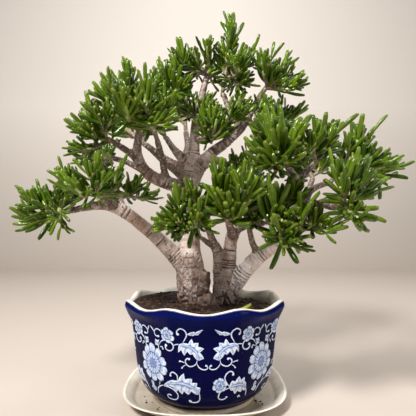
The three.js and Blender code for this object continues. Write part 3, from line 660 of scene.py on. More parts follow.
# The sheets of one panel, some of them mirrored about its middle, are bent onto the pot once for each panel.
# Where a sheet would face inwards, its quads run the other way.
def makePaint():
    sheets = []
    for sign, strokes, leaves, flowers in ((1, mirroredStrokes, mirroredLeaves, mirroredFlowers),
                                           (-1, mirroredStrokes, mirroredLeaves, mirroredFlowers),
                                           (1, plainStrokes, plainLeaves, plainFlowers)):
        for kind, rows in ((strokeSheet, strokes), (leafSheet, leaves), (flowerSheet, flowers)):
            for place, stand, ink in (kind(*row) for row in rows):
                sheets.append((place * [sign, 1], stand, ink))
    parts, inks = [], []
    for panel in range(paintShape["panels"]):
        turn = math.radians(paintShape["turn"] + 360 / paintShape["panels"] * panel) * paintShape["radius"]
        for place, stand, ink in sheets:
            points = ontoPot(place + [turn, 0], stand).reshape(-1, 3)
            quads = gridQuads(*stand.shape, closed=False)
            first = points[quads[:, :3]]
            facing = np.cross(first[:, 1] - first[:, 0], first[:, 2] - first[:, 0])
            outward = first.mean(1) * [1, 1, 0]
            inward = np.einsum("ij,ij->i", facing, outward).sum() < 0
            parts.append([points, quads[:, ::-1] if inward else quads, noTriangles])
            inks.append(ink.ravel())
    paint = makePiece("scrollPaint", *joinMeshes(parts), {"ink": np.concatenate(inks)})
    settle(paint, paintMaterial())


makePaint()
print("scrollwork painted")

# Each limb is a way of [x, y, z, radius] stations that starts inside the limb it grows from.
leftLimbs = {
    "leader": [[-11, -1, 88, 12.5], [-12, -1, 109, 14.6], [-14.4, 0, 122, 17.2], [-16, 0, 134, 17.6],
        [-18, 0, 160, 16], [-19, 0, 182, 12.6], [-18, 1, 209, 11], [-21, 2, 234, 10.6], [-21, 3, 254, 12.5],
        [-17, 4, 272, 12], [-15, 5, 288, 9], [-13, 6, 304, 6.4], [-13, 6, 324, 5.6], [-11, 7, 342, 5.2],
        [-5, 11, 369, 4.5], [1, 19, 397, 3.9]],
    "stump": [[-12, -2, 143, 9], [-4, -7, 147, 8.2], [2, -11, 148, 7.2]],
    "leftLimb": [[-23, 0, 161, 13], [-36, -3, 172, 10.4], [-48, -8, 184, 8.8], [-60, -13, 196, 8],
        [-72, -19, 207, 7.6], [-86, -27, 219, 7.3], [-99, -33, 228, 7], [-112, -37, 232, 6.2],
        [-125, -37, 231, 5], [-138, -34, 229, 4.1], [-154, -28, 226, 3.5]],
    "leftUp": [[-101, -33, 229, 6], [-110, -48, 237, 5.2], [-117, -62, 244, 4.3]],
    "leftBack": [[-94, -30, 225, 5], [-103, -6, 238, 3.9], [-111, 36, 246, 3.5], [-112, 68, 249, 3.2]],
    "westLimb": [[-19, 3, 252, 10], [-31, -2, 256, 8.8], [-46, -8, 260, 7.8], [-60, -14, 265, 7.2],
        [-72, -19, 275, 6.5], [-79, -24, 289, 5.7], [-79, -28, 301, 5], [-77, -32, 312, 4.4]],
    "westOut": [[-79, -24, 287, 4.6], [-90, -29, 295, 3.9], [-103, -36, 303, 3.5]],
    "westLow": [[-66, -14, 269, 5], [-82, -2, 279, 3.9], [-99, 6, 288, 3.5], [-116, 10, 293, 3.2]],
    "westRise": [[-46, -8, 262, 4.4], [-49, -16, 276, 3.9], [-51, -24, 290, 3.6], [-54, -38, 304, 3.3]],
    "westMid": [[-20, 4, 277, 7], [-41, 6, 286, 5], [-57, 14, 297, 4.4], [-71, 22, 308, 4],
        [-86, 32, 321, 3.4]],
    "northStub": [[-17, 5, 284, 8], [-30, 12, 295, 6.2], [-41, 24, 308, 4.2], [-52, 40, 325, 3.3]],
    "northBack": [[-15, 6, 286, 7], [-24, 28, 300, 5.2], [-24, 56, 319, 4.3], [-28, 82, 342, 3.6]],
    "topLeft": [[-10, 8, 346, 4.2], [-18, 8, 356, 3.7], [-27, 5, 364, 3.3]],
    "eastLimb": [[-15, 4, 271, 11], [-4, 2, 285, 8.6], [9, -3, 298, 7.2], [21, -7, 306, 6.1],
        [32, -9, 315, 5.6], [44, -10, 328, 5.3], [52, -8, 341, 4.7], [61, -4, 356, 4.1], [70, 0, 371, 3.5]],
    "eastInner": [[42, -10, 326, 4.5], [37, -4, 341, 3.9], [29, 4, 356, 3.5], [24, 9, 373, 3.1]],
    "eastSide": [[50, -9, 336, 4.3], [62, 3, 334, 3.5], [73, 16, 335, 3.2]],
    "nestTwig": [[-12, 6, 316, 4], [-3, -8, 313, 3.2], [3, -20, 311, 2.9]],
    "backWest": [[-19, 4, 262, 9], [-36, 38, 279, 6], [-60, 66, 300, 5], [-82, 86, 322, 4]],
    "backEast": [[-4, 3, 284, 7], [14, 34, 294, 5.4], [36, 62, 289, 4.4], [56, 80, 286, 3.7]],
}

rightLimbs = {
    "middle": [[19, -2, 88, 11.5], [20, -2, 109, 12.8], [22.6, -2.5, 121, 14], [25, -3, 131, 14.6],
        [28, -4, 143, 12.4], [29, -5, 158, 9.4], [30, -6, 176, 8.3], [32, -9, 194, 7.4],
        [37, -14, 206, 6.4], [40, -10, 218, 4.4], [47, 6, 231, 3.6]],
    "thinStem": [[19, -3, 136, 9], [17, -1, 152, 7.6], [17, 0, 166, 7.2], [15, 1, 178, 6.2],
        [10, 0, 189, 4.6], [4, -8, 204, 3.7], [-1, -26, 216, 3.2]],
    "thinSide": [[12, 0, 183, 4.4], [4, -6, 187, 3.2], [-2, -13, 192, 2.8]],
    "rightLimb": [[28, -4, 132, 11.5], [40, -8, 144, 10.6], [50, -12, 157, 9.6], [62, -17, 170, 9],
        [75, -24, 181, 8.2], [89, -32, 193, 7.7], [101, -41, 206, 7.2], [108, -48, 219, 6.8],
        [104, -52, 233, 5], [100, -55, 248, 4.6], [98, -60, 260, 4.1], [88, -75, 270, 3.5]],
    "midFront": [[34, -10, 195, 5.8], [29, -36, 206, 4.3], [26, -58, 213, 3.7]],
    "midRight": [[37, -14, 205, 5.4], [52, -30, 209, 3.9], [64, -50, 211, 3.4]],
    "rightTwig": [[64, -18, 173, 5], [56, -26, 187, 3.6], [51, -38, 202, 3.2]],
    "rightFork": [[100, -55, 251, 4.3], [109, -56, 264, 3.5], [117, -58, 273, 3.2]],
    "rightMid": [[108, -48, 220, 5.6], [113, -44, 233, 4.6], [119, -38, 246, 4.1], [130, -28, 253, 3.6],
        [148, -14, 260, 3.3]],
    "rightKnob": [[107, -47, 219, 5.6], [118, -57, 228, 4.3], [127, -65, 232, 5.4], [136, -72, 232, 8.2],
        [142, -79, 231, 5.6]],
    "rightLow": [[105, -45, 212, 5], [108, -58, 208, 3.7], [111, -68, 206, 3.3]],
    "rightFront": [[94, -36, 198, 5.6], [88, -56, 200, 4], [84, -72, 201, 3.5]],
    "rightBack": [[109, -46, 220, 5.8], [120, -16, 234, 4.5], [133, 22, 252, 3.9], [144, 48, 269, 3.4]],
}


# Directions along a way, and two directions square to them that are carried on without twist.
def framesAlong(way):
    along = unit(np.gradient(way[:, :3], axis=0))
    across = np.empty_like(along)
    carried = np.array([0.35, 0.8, 0.5])
    for i, direction in enumerate(along):
        carried = unit(carried - direction * (carried @ direction))
        across[i] = carried
    return along, across, np.cross(across, along)


# A way through its stations in steps of about the given length.
def fineWay(stations, step):
    curve = smoothWay(stations, 24)
    return evenly(curve, max(int(reachAlong(curve[:, :3])[-1] / step), 4) + 1)


# A round tube along a way, with a dome on its far end and a flat near end: point = place + radius times
# (across sin a + other cos a).
def tubeMesh(way, sides, domes=4):
    along, across, other = framesAlong(way)
    turn = np.linspace(0, math.pi / 2, domes + 1)[1:-1]
    radius = np.concatenate([way[:, 3], way[-1, 3] * np.cos(turn)])
    centre = np.concatenate([way[:, :3], way[-1, :3] + way[-1, 3] * np.sin(turn)[:, None] * along[-1]])
    across, other = (np.concatenate([rows, np.repeat(rows[-1:], domes - 1, 0)]) for rows in (across, other))
    angle = turns(sides)[None, :, None]
    spokes = across[:, None] * np.sin(angle) + other[:, None] * np.cos(angle)
    rings = centre[:, None] + radius[:, None, None] * spokes
    points, quads, fans = closedRings(rings, way[0, :3], way[-1, :3] + way[-1, 3] * along[-1])
    return [points, quads[:, ::-1], fans[:, ::-1]]


barkShape = {"step": 1.5, "blend": 1.6, "passes": 3, "slide": 1.2, "leastPull": 0.35, "sides": 18,
             "near": 26.0, "far": 9.0, "chunk": 20000, "limbsApart": 37.0}
# each trunk's voxel size, the height up to which its bark has plates, and the seed of its relief
leftTrunk = {"voxel": 1.06, "plated": 176.0, "seed": 11}
rightTrunk = {"voxel": 0.92, "plated": 148.0, "seed": 23}
# what raises or sinks the bark: depths and sizes in millimetres, lumps and joints as shares of the radius
reliefShape = {
    "ringDepth": 0.8, "ringWidth": 0.9, "lipDepth": 0.42, "lipPlace": 2.1, "lipWidth": 1.2, "wobble": 1.1,
    "evenRings": 7.5, "moreApart": 2.0, "lump": 0.05, "plate": 8.5, "plateDepth": 1.5, "crack": 2.2,
    "bent": 3.2, "thickWood": 8.0, "fadeOver": 26.0, "fine": 0.16, "flareAt": 108.0, "flareWidth": 11.0,
    "flareFrom": 11.0, "tornAt": [5.5, -13.0, 145.0], "tornStretch": [1, 1, 1.4], "tornSize": 7.5,
    "snapRight": 5.6, "snapTop": 153.0, "snapFrom": -2.0, "snapped": 0.12,
}
# where marks fade: soil stains up to a height, and young wood below a radius, each over the second number
stainFade, youngFade = (131.0, 16.0), (7.2, 3.4)
# scars that ring a limb, by their distance from its start; limbs not named here have them at even steps
ringScars = {
    "leader": [71, 75, 128, 133, 152, 186, 210, 214], "stump": [4],
    "leftLimb": [13, 17, 20.5, 44, 61, 64.5, 96, 101, 118, 127, 139], "westLimb": [9, 13, 30, 34, 52, 60, 71],
    "middle": [71.5, 74.5, 77, 80, 93, 110, 121], "thinStem": [11, 14, 21, 27, 40, 52],
    "rightLimb": [20, 24, 28, 31.5, 60, 63.5, 84, 98, 112, 121, 133, 139],
    "eastLimb": [12, 16, 36, 40, 55, 62, 66, 82, 90],
}
# how silvery a limb is, from brown at 0 to pale at 1; past 1 it gets a painted highlight that paints it near
# white as if brightly lit, and a painted reddish shade on its underside
silverAndPaintedSheen = {"rightLimb": 1.5, "leader": 0.8, "leftLimb": 0.6, "middle": 0.7, "thinStem": 0.6, "eastLimb": 0.45,
          "westLimb": 0.35, "others": 0.25}
# a lump under the stump, and a low root that joins the two trunks at the soil
stumpFoot = [[-12, -6, 122, 10], [-4, -9, 131, 8.5], [1, -11, 141, 7.5]]
rootBridge = [[-7, -8, 104, 8], [1, -10, 119, 8], [8, -9, 119, 7], [13, -8, 108, 6]]


# How far points lie outside one limb, and where along it: the nearest station's plane gives the distance
# along, and the rest is the distance from the axis less the radius there.
def limbDistance(points, way, travelled, along):
    near = np.empty(len(points), int)
    for first in range(0, len(points), barkShape["chunk"]):
        part = points[first:first + barkShape["chunk"]]
        apart = np.linalg.norm(part[:, None] - way[None, :, :3], axis=2) - way[None, :, 3]
        near[first:first + len(part)] = np.argmin(apart, axis=1)
    offset = points - way[near, :3]
    reach = np.clip(travelled[near] + np.einsum("ij,ij->i", offset, along[near]), 0, travelled[-1])
    offset -= (reach - travelled[near])[:, None] * along[near]
    axial = np.linalg.norm(offset, axis=1)
    radius = np.interp(reach, travelled, way[:, 3])
    return axial - radius, reach, radius, offset / np.maximum(axial, 1e-6)[:, None]


# Blended distance to all limbs, d = -k log(sum of exp(-di / k)), with its direction, the number of the
# nearest limb, and the distance along that limb and its radius there.
def woodDistance(points, limbs):
    blend = barkShape["blend"]
    count = len(points)
    total, pull, best = np.zeros(count), np.zeros((count, 3)), np.full(count, 1e9)
    nearest, reach, radius = np.zeros(count, int), np.zeros(count), np.zeros(count)
    for number, limb in enumerate(limbs):
        way = limb[0]
        low, high = way[:, :3].min(0) - barkShape["near"], way[:, :3].max(0) + barkShape["near"]
        close = np.flatnonzero(np.all((points > low) & (points < high), axis=1))
        if len(close) == 0:
            continue
        apart, along, thick, outward = limbDistance(points[close], *limb)
        weight = np.exp(-np.clip(apart, -12, 40) / blend)
        total[close] += weight
        pull[close] += weight[:, None] * outward
        nearer = apart < best[close]
        chosen = close[nearer]
        best[chosen], nearest[chosen] = apart[nearer], number
        reach[chosen], radius[chosen] = along[nearer], thick[nearer]
    total = np.maximum(total, 1e-12)
    return -blend * np.log(total), pull / total[:, None], nearest, reach, radius


# The limbs' tubes joined to one closed skin of quads by a voxel remesh.
def joinedSkin(limbs, voxel):
    rough = makePiece("roughWood", *joinMeshes([tubeMesh(limb[0], barkShape["sides"]) for limb in limbs]))
    joiner = rough.modifiers.new("join", "REMESH")
    joiner.mode = "VOXEL"
    joiner.voxel_size = voxel * mm
    joined = rough.evaluated_get(bpy.context.evaluated_depsgraph_get()).to_mesh()
    vertices = np.empty(len(joined.vertices) * 3, np.float32)
    joined.vertices.foreach_get("co", vertices)
    quads = np.empty(len(joined.loops), np.int32)
    joined.loops.foreach_get("vertex_index", quads)
    bpy.data.objects.remove(rough)
    return vertices.reshape(-1, 3).astype(float) / mm, quads.reshape(-1, 4)


# How far each vertex lies from the nearest ring scar of its limb, and how silvery the limb is, past 1 where
# it gets a painted highlight.
def scarsAndSilver(vertices, limbNames, lengths, nearest, along, seed):
    s = reliefShape
    wobble = latticeNoise(vertices, 11, seed + 2) * s["wobble"]
    fromRing = np.full(len(vertices), barkShape["far"])
    pale = np.zeros(len(vertices))
    for number, limbName in enumerate(limbNames):
        mine = np.flatnonzero(nearest == number)
        apart = s["evenRings"] + s["moreApart"] * math.modf(number * 0.618)[0]
        places = ringScars.get(limbName, list(np.arange(6.0, lengths[number], apart)))
        fromRing[mine] = np.abs((along + wobble)[mine, None] - np.array(places, float)[None]).min(axis=1)
        pale[mine] = silverAndPaintedSheen.get(limbName, silverAndPaintedSheen["others"])
    return fromRing, pale


# The skin slides onto the blended surface: each pass moves a vertex back along the surface's direction by its
# distance from the surface.
def slideOn(vertices, limbs):
    for _ in range(barkShape["passes"]):
        apart, outward = woodDistance(vertices, limbs)[:2]
        length = np.maximum(np.linalg.norm(outward, axis=1), barkShape["leastPull"])
        step = np.clip(apart, -barkShape["slide"], barkShape["slide"])
        vertices -= step[:, None] * outward / (length ** 2)[:, None]


# How far each vertex is raised: lumps + rings (1 - base) + plates base + fine noise + flare + broken face,
# where base is the share of old plated wood. That share, the gaps between the plates and the place of the
# broken face are given back as well.
def barkRelief(vertices, fromRing, radius, plated, seed):
    s = reliefShape

    def noise(size, number, stretch=(1, 1, 1)):
        return latticeNoise(vertices * stretch, size, seed + number)

    # ring scars, each a groove with a lip beside it
    lips = s["lipDepth"] * bell(fromRing - s["lipPlace"], s["lipWidth"])
    rings = (lips - bell(fromRing, s["ringWidth"])) * s["ringDepth"]
    rings *= (0.3 + 0.7 * np.clip(noise(9, 3) * 2 + 1.1, 0, 1)) * np.clip(radius / s["thickWood"], 0.35, 1)
    lumps = (noise(17, 0) + 0.6 * noise(8, 1)) * s["lump"] * radius
    # old wood low down has plates, long and bent: their cells are squeezed along z and pushed about by noise
    base = np.clip((plated - vertices[:, 2]) / s["fadeOver"], 0, 1) * (radius > s["thickWood"])
    base = np.clip(base + 0.5 * noise(14, 8) * (base > 0), 0, 1)
    bent = np.stack([noise(11, 20 + axis) for axis in range(3)], -1)
    gap = plateGap((vertices + s["bent"] * bent) * [1, 1, 0.5], s["plate"], seed + 4)
    plates = (np.clip(gap / s["crack"], 0, 1) - 0.55) * s["plateDepth"] + 0.5 * noise(4.0, 5)
    # fluted flare at the soil, and the broken face of the stump
    flare = bell(vertices[:, 2] - s["flareAt"], s["flareWidth"]) * (radius > s["flareFrom"])
    flare = flare * (0.4 + 3.4 * noise(7.5, 7, (1, 1, 0.16)))
    torn = bell(np.linalg.norm((vertices - np.array(s["tornAt"])) / s["tornStretch"], axis=1), s["tornSize"])
    broken = torn * (2.8 * noise(4.6, 9) + 1.2 * noise(2.2, 10) - 0.6)
    raised = lumps + rings * (1 - base) + plates * base + s["fine"] * noise(2.4, 6) + flare + broken
    return raised, base, gap, torn


# The stump is snapped off: nothing of it stands beyond a jagged face to the right and above.
def snapStump(vertices, torn, seed):
    s = reliefShape
    jagged = 1.6 * latticeNoise(vertices, 4.2, seed + 11)
    snapped = torn > s["snapped"]
    vertices[:, 0] = np.where(snapped, np.minimum(vertices[:, 0], s["snapRight"] + jagged), vertices[:, 0])
    tall = snapped & (vertices[:, 0] > s["snapFrom"])
    vertices[:, 2] = np.where(tall, np.minimum(vertices[:, 2], s["snapTop"] + jagged), vertices[:, 2])


# A mark that is 1 well below the first number of the fade and 0 above it.
def fading(values, fade):
    return np.clip((fade[0] - values) / fade[1], 0, 1)


# One trunk with its limbs: a joined skin, slid on, raised along its own direction by the relief, and marked
# with what its material reads.
def makeBark(name, node, limbList, voxel, plated, seed):
    limbs = []
    for stations in limbList.values():
        way, travelled = fineWay(stations, barkShape["step"])
        limbs.append([way, travelled, framesAlong(way)[0]])
    vertices, quads = joinedSkin(limbs, voxel)
    slideOn(vertices, limbs)
    outward, nearest, along, radius = woodDistance(vertices, limbs)[1:]
    outward = unit(outward + 1e-9)
    lengths = [limb[1][-1] for limb in limbs]
    fromRing, pale = scarsAndSilver(vertices, limbList, lengths, nearest, along, seed)
    raised, base, gap, torn = barkRelief(vertices, fromRing, radius, plated, seed)
    torn *= "stump" in limbList
    vertices += raised[:, None] * outward
    snapStump(vertices, torn, seed)
    bark = makePiece(name, vertices, quads, marks={
        "along": along + barkShape["limbsApart"] * nearest, "fromRing": fromRing, "base": base, "gap": gap,
        # pale past 1 marks a painted highlight, and under marks the downward side of those limbs for a
        # painted shade
        "pale": pale * (1 - 0.2 * base) * np.clip((radius - 2.5) / 5, 0.2, 1),
        "under": np.clip(-outward[:, 2] * 1.3 - 0.2, 0, 1) * (pale > 1), "torn": torn,
        "soiled": fading(vertices[:, 2], stainFade), "young": fading(radius, youngFade)})
    settle(bark, barkSkin, node)
    print(name, len(vertices), "vertices")


# Brown wood under a silvery skin that breaks into patches: fine wrinkles run round each limb, narrow dark
# scars ring it, pale freckles mark the twigs and dark cracks part the plates of the old wood.
def barkMaterial():
    bark = Finish("ringedBark", Roughness=0.50, Specular_IOR_Level=0.45)
    pale, base, young = bark.attribute("pale"), bark.attribute("base"), bark.attribute("young")

    # a coat over what is there, as strong as the product of its factors
    def over(color, coat, *factors, blend="MIX"):
        return bark.mix(bark.product(*factors), color, coat, blend)

    brown = bark.ramp(bark.noise(42.0, 6.0, 0.62), (0.30, (0.075, 0.040, 0.028)),
                      (0.45, (0.165, 0.095, 0.064)), (0.58, (0.25, 0.165, 0.125)),
                      (0.72, (0.36, 0.27, 0.225)))
    silvery = bark.ramp(bark.noise(75.0, 5.0, 0.6), (0.30, (0.35, 0.25, 0.205)), (0.50, (0.50, 0.385, 0.33)),
                        (0.68, (0.69, 0.59, 0.55)))
    # painted highlight: limbs silvery past 1 are painted near white, as if brightly lit
    silvery = over(silvery, (0.95, 0.85, 0.82), bark.combine("MULTIPLY_ADD", pale, 1.4, -1.1))
    flaky = bark.noise(125.0, 9.0, 0.72, (1, 1, 0.7))
    cover = bark.ramp(bark.combine("MULTIPLY_ADD", pale, 0.42, flaky), (0.60, 0.0), (0.68, 1.0))
    color = over(brown, silvery, cover)
    color = over(color, (0.30, 0.150, 0.085), bark.ramp(bark.noise(26.0, 3.0), (0.52, 0.0), (0.68, 0.45)))

    # wrinkles: noise that changes fast along the limb and slowly round it
    wrinkles = bark.add("TexNoise", "Fac", noise_dimensions="4D", Vector=bark.stretched((55, 55, 55)),
                        W=bark.product(bark.attribute("along"), 0.75), Scale=1.0, Detail=3.0, Roughness=0.6)
    grain = bark.noise(560.0, 5.0, 0.65)
    color = over(color, bark.ramp(wrinkles, (0.36, 0.62), (0.5, 1.0), (0.66, 1.22)), 0.8, blend="MULTIPLY")
    color = over(color, bark.ramp(grain, (0.34, 0.68), (0.66, 1.25)), 0.8, blend="MULTIPLY")
    pits = bark.ramp(bark.noise(330.0, 2.0, 0.5, (1, 1, 0.6)), (0.30, 1.0), (0.37, 0.0))
    color = over(color, (0.070, 0.040, 0.030), pits)

    # dark ring scars, worn away here and there, and none on the plates
    swayed = bark.combine("MULTIPLY_ADD", bark.noise(160.0, 3.0), 0.9, bark.attribute("fromRing"))
    scars = bark.ramp(bark.product(swayed, 0.25), (0.0, 1.0), (0.20, 0.95), (0.31, 0.0))
    worn = bark.ramp(bark.noise(60.0, 2.0), (0.36, 0.35), (0.50, 1.0))
    scarred = bark.product(scars, worn, bark.combine("SUBTRACT", 1.0, base))
    color = over(color, (0.048, 0.030, 0.027), scarred)

    # cracks between the plates, and hairlines that noise bends
    bent = bark.combine("MULTIPLY_ADD", bark.noise(90.0, output="Color"), (0.022, 0.022, 0.022),
                        bark.stretched((1, 1, 0.42)), kind="VectorMath")
    cracks = bark.add("TexVoronoi", "Distance", feature="DISTANCE_TO_EDGE", Vector=bent, Scale=170.0)
    hairline = bark.ramp(cracks, (0.0, 0.8), (0.02, 0.5), (0.06, 0.0))
    wide = bark.ramp(bark.product(bark.attribute("gap"), 0.2), (0.0, 1.0), (0.12, 0.85), (0.34, 0.0))
    wide = bark.product(wide, bark.ramp(bark.noise(48.0, 3.0), (0.44, 0.15), (0.58, 1.0)))
    cracked = bark.product(bark.combine("MAXIMUM", hairline, wide), base)
    color = over(color, (0.145, 0.078, 0.050), bark.ramp(bark.noise(30.0), (0.42, 0.0), (0.60, 0.75)), base)
    color = over(color, (0.062, 0.032, 0.022), cracked)
    # painted shade: the undersides of the near-white limbs are painted a darker reddish colour
    color = over(color, (0.36, 0.19, 0.145), bark.attribute("under"), 0.55)
    fringe = bark.ramp(bark.noise(110.0, 5.0, 0.6, (1, 1, 0.3)), (0.36, 0.45), (0.58, 1.0))
    color = over(color, (0.080, 0.046, 0.030), bark.attribute("soiled"), fringe)
    torn = bark.combine("ADD", bark.attribute("torn"), bark.combine("MULTIPLY_ADD", flaky, 0.5, -0.25))
    rotten = bark.ramp(grain, (0.35, (0.022, 0.013, 0.010)), (0.65, (0.13, 0.075, 0.05)))
    color = over(color, rotten, bark.ramp(torn, (0.30, 0.0), (0.48, 1.0)))
    color = over(color, (0.15, 0.098, 0.072), young, 0.6)
    freckles = bark.ramp(bark.noise(340.0, 1.0), (0.57, 0.0), (0.65, 1.0))
    color = over(color, (0.50, 0.46, 0.42), freckles, young)
    for height, strength, distance in ((grain, 0.7, 0.0006), (wrinkles, 0.9, 0.0011), (cover, 0.6, 0.0003),
                                       (scarred, 0.9, -0.0008), (cracked, 0.9, -0.0010)):
        bark.bump(height, strength, distance)
    return bark.done(color)


barkSkin = barkMaterial()
makeBark("leftBark", "left_trunk", {**leftLimbs, "rootBridge": rootBridge, "stumpFoot": stumpFoot},
         **leftTrunk)
makeBark("rightBark", "right_trunk", rightLimbs, **rightTrunk)
print("bark made")

# Each spray grows from the end of one limb: its shoots are [x, y, z of the rosette, size, lean].
lean = {
    "up": [0, 0, 1],
    "west": [-1, 0, 0.25],
    "east": [1, 0, 0.25],
    "upWest": [-0.7, 0, 0.75],
    "upEast": [0.7, 0, 0.75],
    "front": [0, -0.8, 0.6],
    "down": [0, -0.3, -1],
    "downEast": [0.8, -0.2, -0.45],
}

sprays = {
    "spray_left_far": ["leftLimb", [[-200, -18, 216, 1, "west"], [-198, -32, 236, 0.95, "upWest"],
        [-168, -30, 240, 1, "up"], [-162, -48, 222, 0.8, "down"], [-204, 12, 238, 0.95, "upWest"]]],
    "spray_left_near": ["leftUp", [[-110, -86, 254, 1.15, "up"], [-128, -94, 243, 1.1, "upWest"],
        [-145, -62, 252, 1, "upWest"], [-94, -74, 252, 1, "up"]]],
    "spray_left_back": ["leftBack", [[-107, 92, 258, 0.85, "up"], [-84, 96, 248, 0.85, "east"],
        [-138, 96, 261, 0.85, "up"]]],
    "spray_west_out": ["westOut", [[-129, -50, 312, 1.05, "west"], [-138, -38, 294, 0.95, "west"],
        [-114, -68, 324, 1.05, "upWest"], [-138, -10, 332, 0.95, "upWest"]]],
    "spray_west_low": ["westLow", [[-146, 12, 288, 0.9, "west"], [-144, 52, 290, 0.9, "west"],
        [-138, 58, 312, 0.9, "up"]]],
    "spray_west_crown": ["westLimb", [[-88, -32, 375, 0.95, "up"], [-94, -76, 346, 1.1, "upWest"],
        [-78, -98, 322, 1.15, "front"], [-108, -48, 348, 1.05, "upWest"], [-108, 6, 383, 1, "upWest"]]],
    "spray_west_rise": ["westRise", [[-60, -88, 336, 1.1, "up"], [-50, -90, 312, 1, "east"],
        [-58, -52, 362, 0.95, "upEast"], [-44, -62, 334, 0.9, "upEast"]]],
    "spray_west_mid": ["westMid", [[-114, 58, 352, 0.95, "up"], [-94, 48, 384, 0.95, "up"],
        [-134, 78, 376, 0.95, "upWest"]]],
    "spray_north_stub": ["northStub", [[-66, 60, 382, 0.95, "up"], [-72, 88, 366, 0.9, "up"]]],
    "spray_north_back": ["northBack", [[-32, 112, 408, 0.95, "up"], [-50, 132, 388, 0.9, "up"],
        [-12, 122, 394, 0.9, "upEast"]]],
    "spray_top_left": ["topLeft", [[-50, 0, 387, 0.95, "up"], [-38, -30, 374, 1, "up"],
        [-32, 28, 392, 0.85, "up"]]],
    "spray_crown": ["leader", [[-27, 10, 418, 1, "up"], [4, 2, 418, 0.95, "up"], [-12, 46, 426, 0.95, "up"],
        [16, 50, 418, 0.9, "upEast"]]],
    "spray_east_inner": ["eastInner", [[34, 10, 449, 1.15, "up"], [52, 20, 420, 0.95, "upEast"],
        [40, -20, 398, 0.95, "up"], [50, 52, 408, 0.9, "upEast"], [46, -4, 384, 0.85, "east"]]],
    "spray_east_rise": ["eastLimb", [[95, 2, 404, 1.05, "upEast"], [97, -4, 379, 1, "east"],
        [72, -14, 396, 0.9, "up"], [108, 38, 394, 0.95, "east"], [86, 44, 419, 0.9, "up"]]],
    "spray_east_side": ["eastSide", [[96, 40, 358, 0.9, "up"], [112, 28, 348, 0.95, "upEast"],
        [112, 74, 346, 0.9, "east"]]],
    "spray_nest": ["nestTwig", [[9, -46, 314, 0.95, "up"], [24, -38, 324, 0.9, "upEast"],
        [0, -34, 330, 0.85, "up"]]],
    "spray_middle_front": ["midFront", [[24, -90, 222, 1.25, "front"], [18, -82, 240, 1.2, "up"],
        [38, -98, 240, 1.15, "up"]]],
    "spray_middle_back": ["middle", [[62, 48, 276, 0.9, "up"], [42, 70, 274, 0.85, "up"],
        [40, 14, 260, 0.9, "up"]]],
    "spray_middle_right": ["midRight", [[70, -94, 222, 1.3, "up"], [86, -72, 230, 1.1, "upEast"],
        [62, -52, 240, 0.85, "up"]]],
    "spray_thin_stem": ["thinStem", [[-24, -90, 222, 1.15, "up"], [-8, -68, 230, 1, "up"],
        [-30, -86, 208, 0.95, "west"], [-10, -98, 210, 0.9, "front"]]],
    "spray_thin_side": ["thinSide", [[-12, -38, 202, 0.75, "down"]]],
    "spray_right_twig": ["rightTwig", [[50, -74, 226, 0.95, "up"]]],
    "spray_right_rise": ["rightLimb", [[69, -114, 282, 1.25, "up"], [84, -102, 292, 1.15, "upEast"],
        [60, -106, 278, 1, "upWest"], [70, -82, 300, 1.05, "up"]]],
    "spray_right_fork": ["rightFork", [[122, -72, 295, 1.1, "up"], [140, -50, 306, 1.05, "upEast"],
        [106, -88, 290, 1, "upWest"]]],
    "spray_right_mid": ["rightMid", [[184, -12, 308, 1.05, "up"], [199, 0, 312, 1.1, "upEast"],
        [217, 4, 273, 1.1, "east"], [194, 34, 290, 0.9, "up"], [203, -24, 276, 1, "east"]]],
    "spray_right_knob": ["rightKnob", [[149, -98, 222, 1.05, "downEast"], [154, -86, 250, 1.15, "up"],
        [172, -72, 244, 1.05, "east"], [138, -106, 246, 1, "up"]]],
    "spray_right_low": ["rightLow", [[118, -86, 206, 0.9, "east"], [98, -98, 216, 1.1, "upEast"]]],
    "spray_right_front": ["rightFront", [[76, -102, 202, 1.1, "front"], [86, -94, 198, 0.9, "front"]]],
    "spray_right_back": ["rightBack", [[142, 74, 298, 0.85, "up"], [170, 76, 290, 0.9, "upEast"],
        [136, 94, 282, 0.85, "up"], [166, 96, 314, 0.9, "up"]]],
    "spray_back_west": ["backWest", [[-112, 122, 372, 0.95, "up"], [-132, 116, 350, 0.95, "west"],
        [-92, 132, 356, 0.9, "up"]]],
    "spray_back_east": ["backEast", [[112, 108, 320, 0.95, "up"], [134, 124, 330, 0.95, "upEast"],
        [98, 118, 304, 0.85, "up"]]],
}

leafShape = {
    "length": 33.5, "shortest": 0.5, "lengthRange": 0.6, "longShare": 0.07, "longer": 1.25, "longFrom": 0.35,
    "radius": 3.25, "thinnest": 0.76, "thickRange": 0.36, "sides": 6, "rim": 5, "spreadLow": 68.0,
    "spreadHigh": 10.0, "spreadJitter": 14.0, "turnJitter": 0.28, "lift": 0.42, "out": 1.2, "leafy": 32.0,
    "smallLeafy": 26.0, "over": 1.12, "spacing": 4.6, "samples": 6, "room": 0.5, "most": 2.0, "around": 80.0,
    "poleMark": 2.4, "seed": 7,
}
# turn, droop and share of its length that a leaf tries in turn until it has room
leafTries = ((0, 0, 1), (0.35, 0, 1), (-0.35, 0, 1), (0, 14, 0.95), (0, -14, 0.95), (0.6, 8, 0.85),
             (-0.6, -8, 0.85), (0.2, 22, 0.75), (-0.2, -20, 0.75))
# radius and place along a leaf from its root to the rim of its blunt end, then into the dimple
leafProfile = np.array([[0.40, 0.0], [0.58, 0.13], [0.84, 0.38], [1.0, 0.66], [0.96, 0.85], [0.72, 0.97],
                        [0.46, 0.99]])
stemShape = {"radius": 2.9, "pairHeight": 4.6, "small": 0.8, "big": 1.25, "fewPairs": 2, "manyPairs": 4,
             "sunk": 0.6, "hubRise": 3.0, "straightness": 0.5, "sides": 6, "domes": 3, "step": 1.6,
             "knobDepth": 0.05, "knobs": 3.1, "core": 0.6}
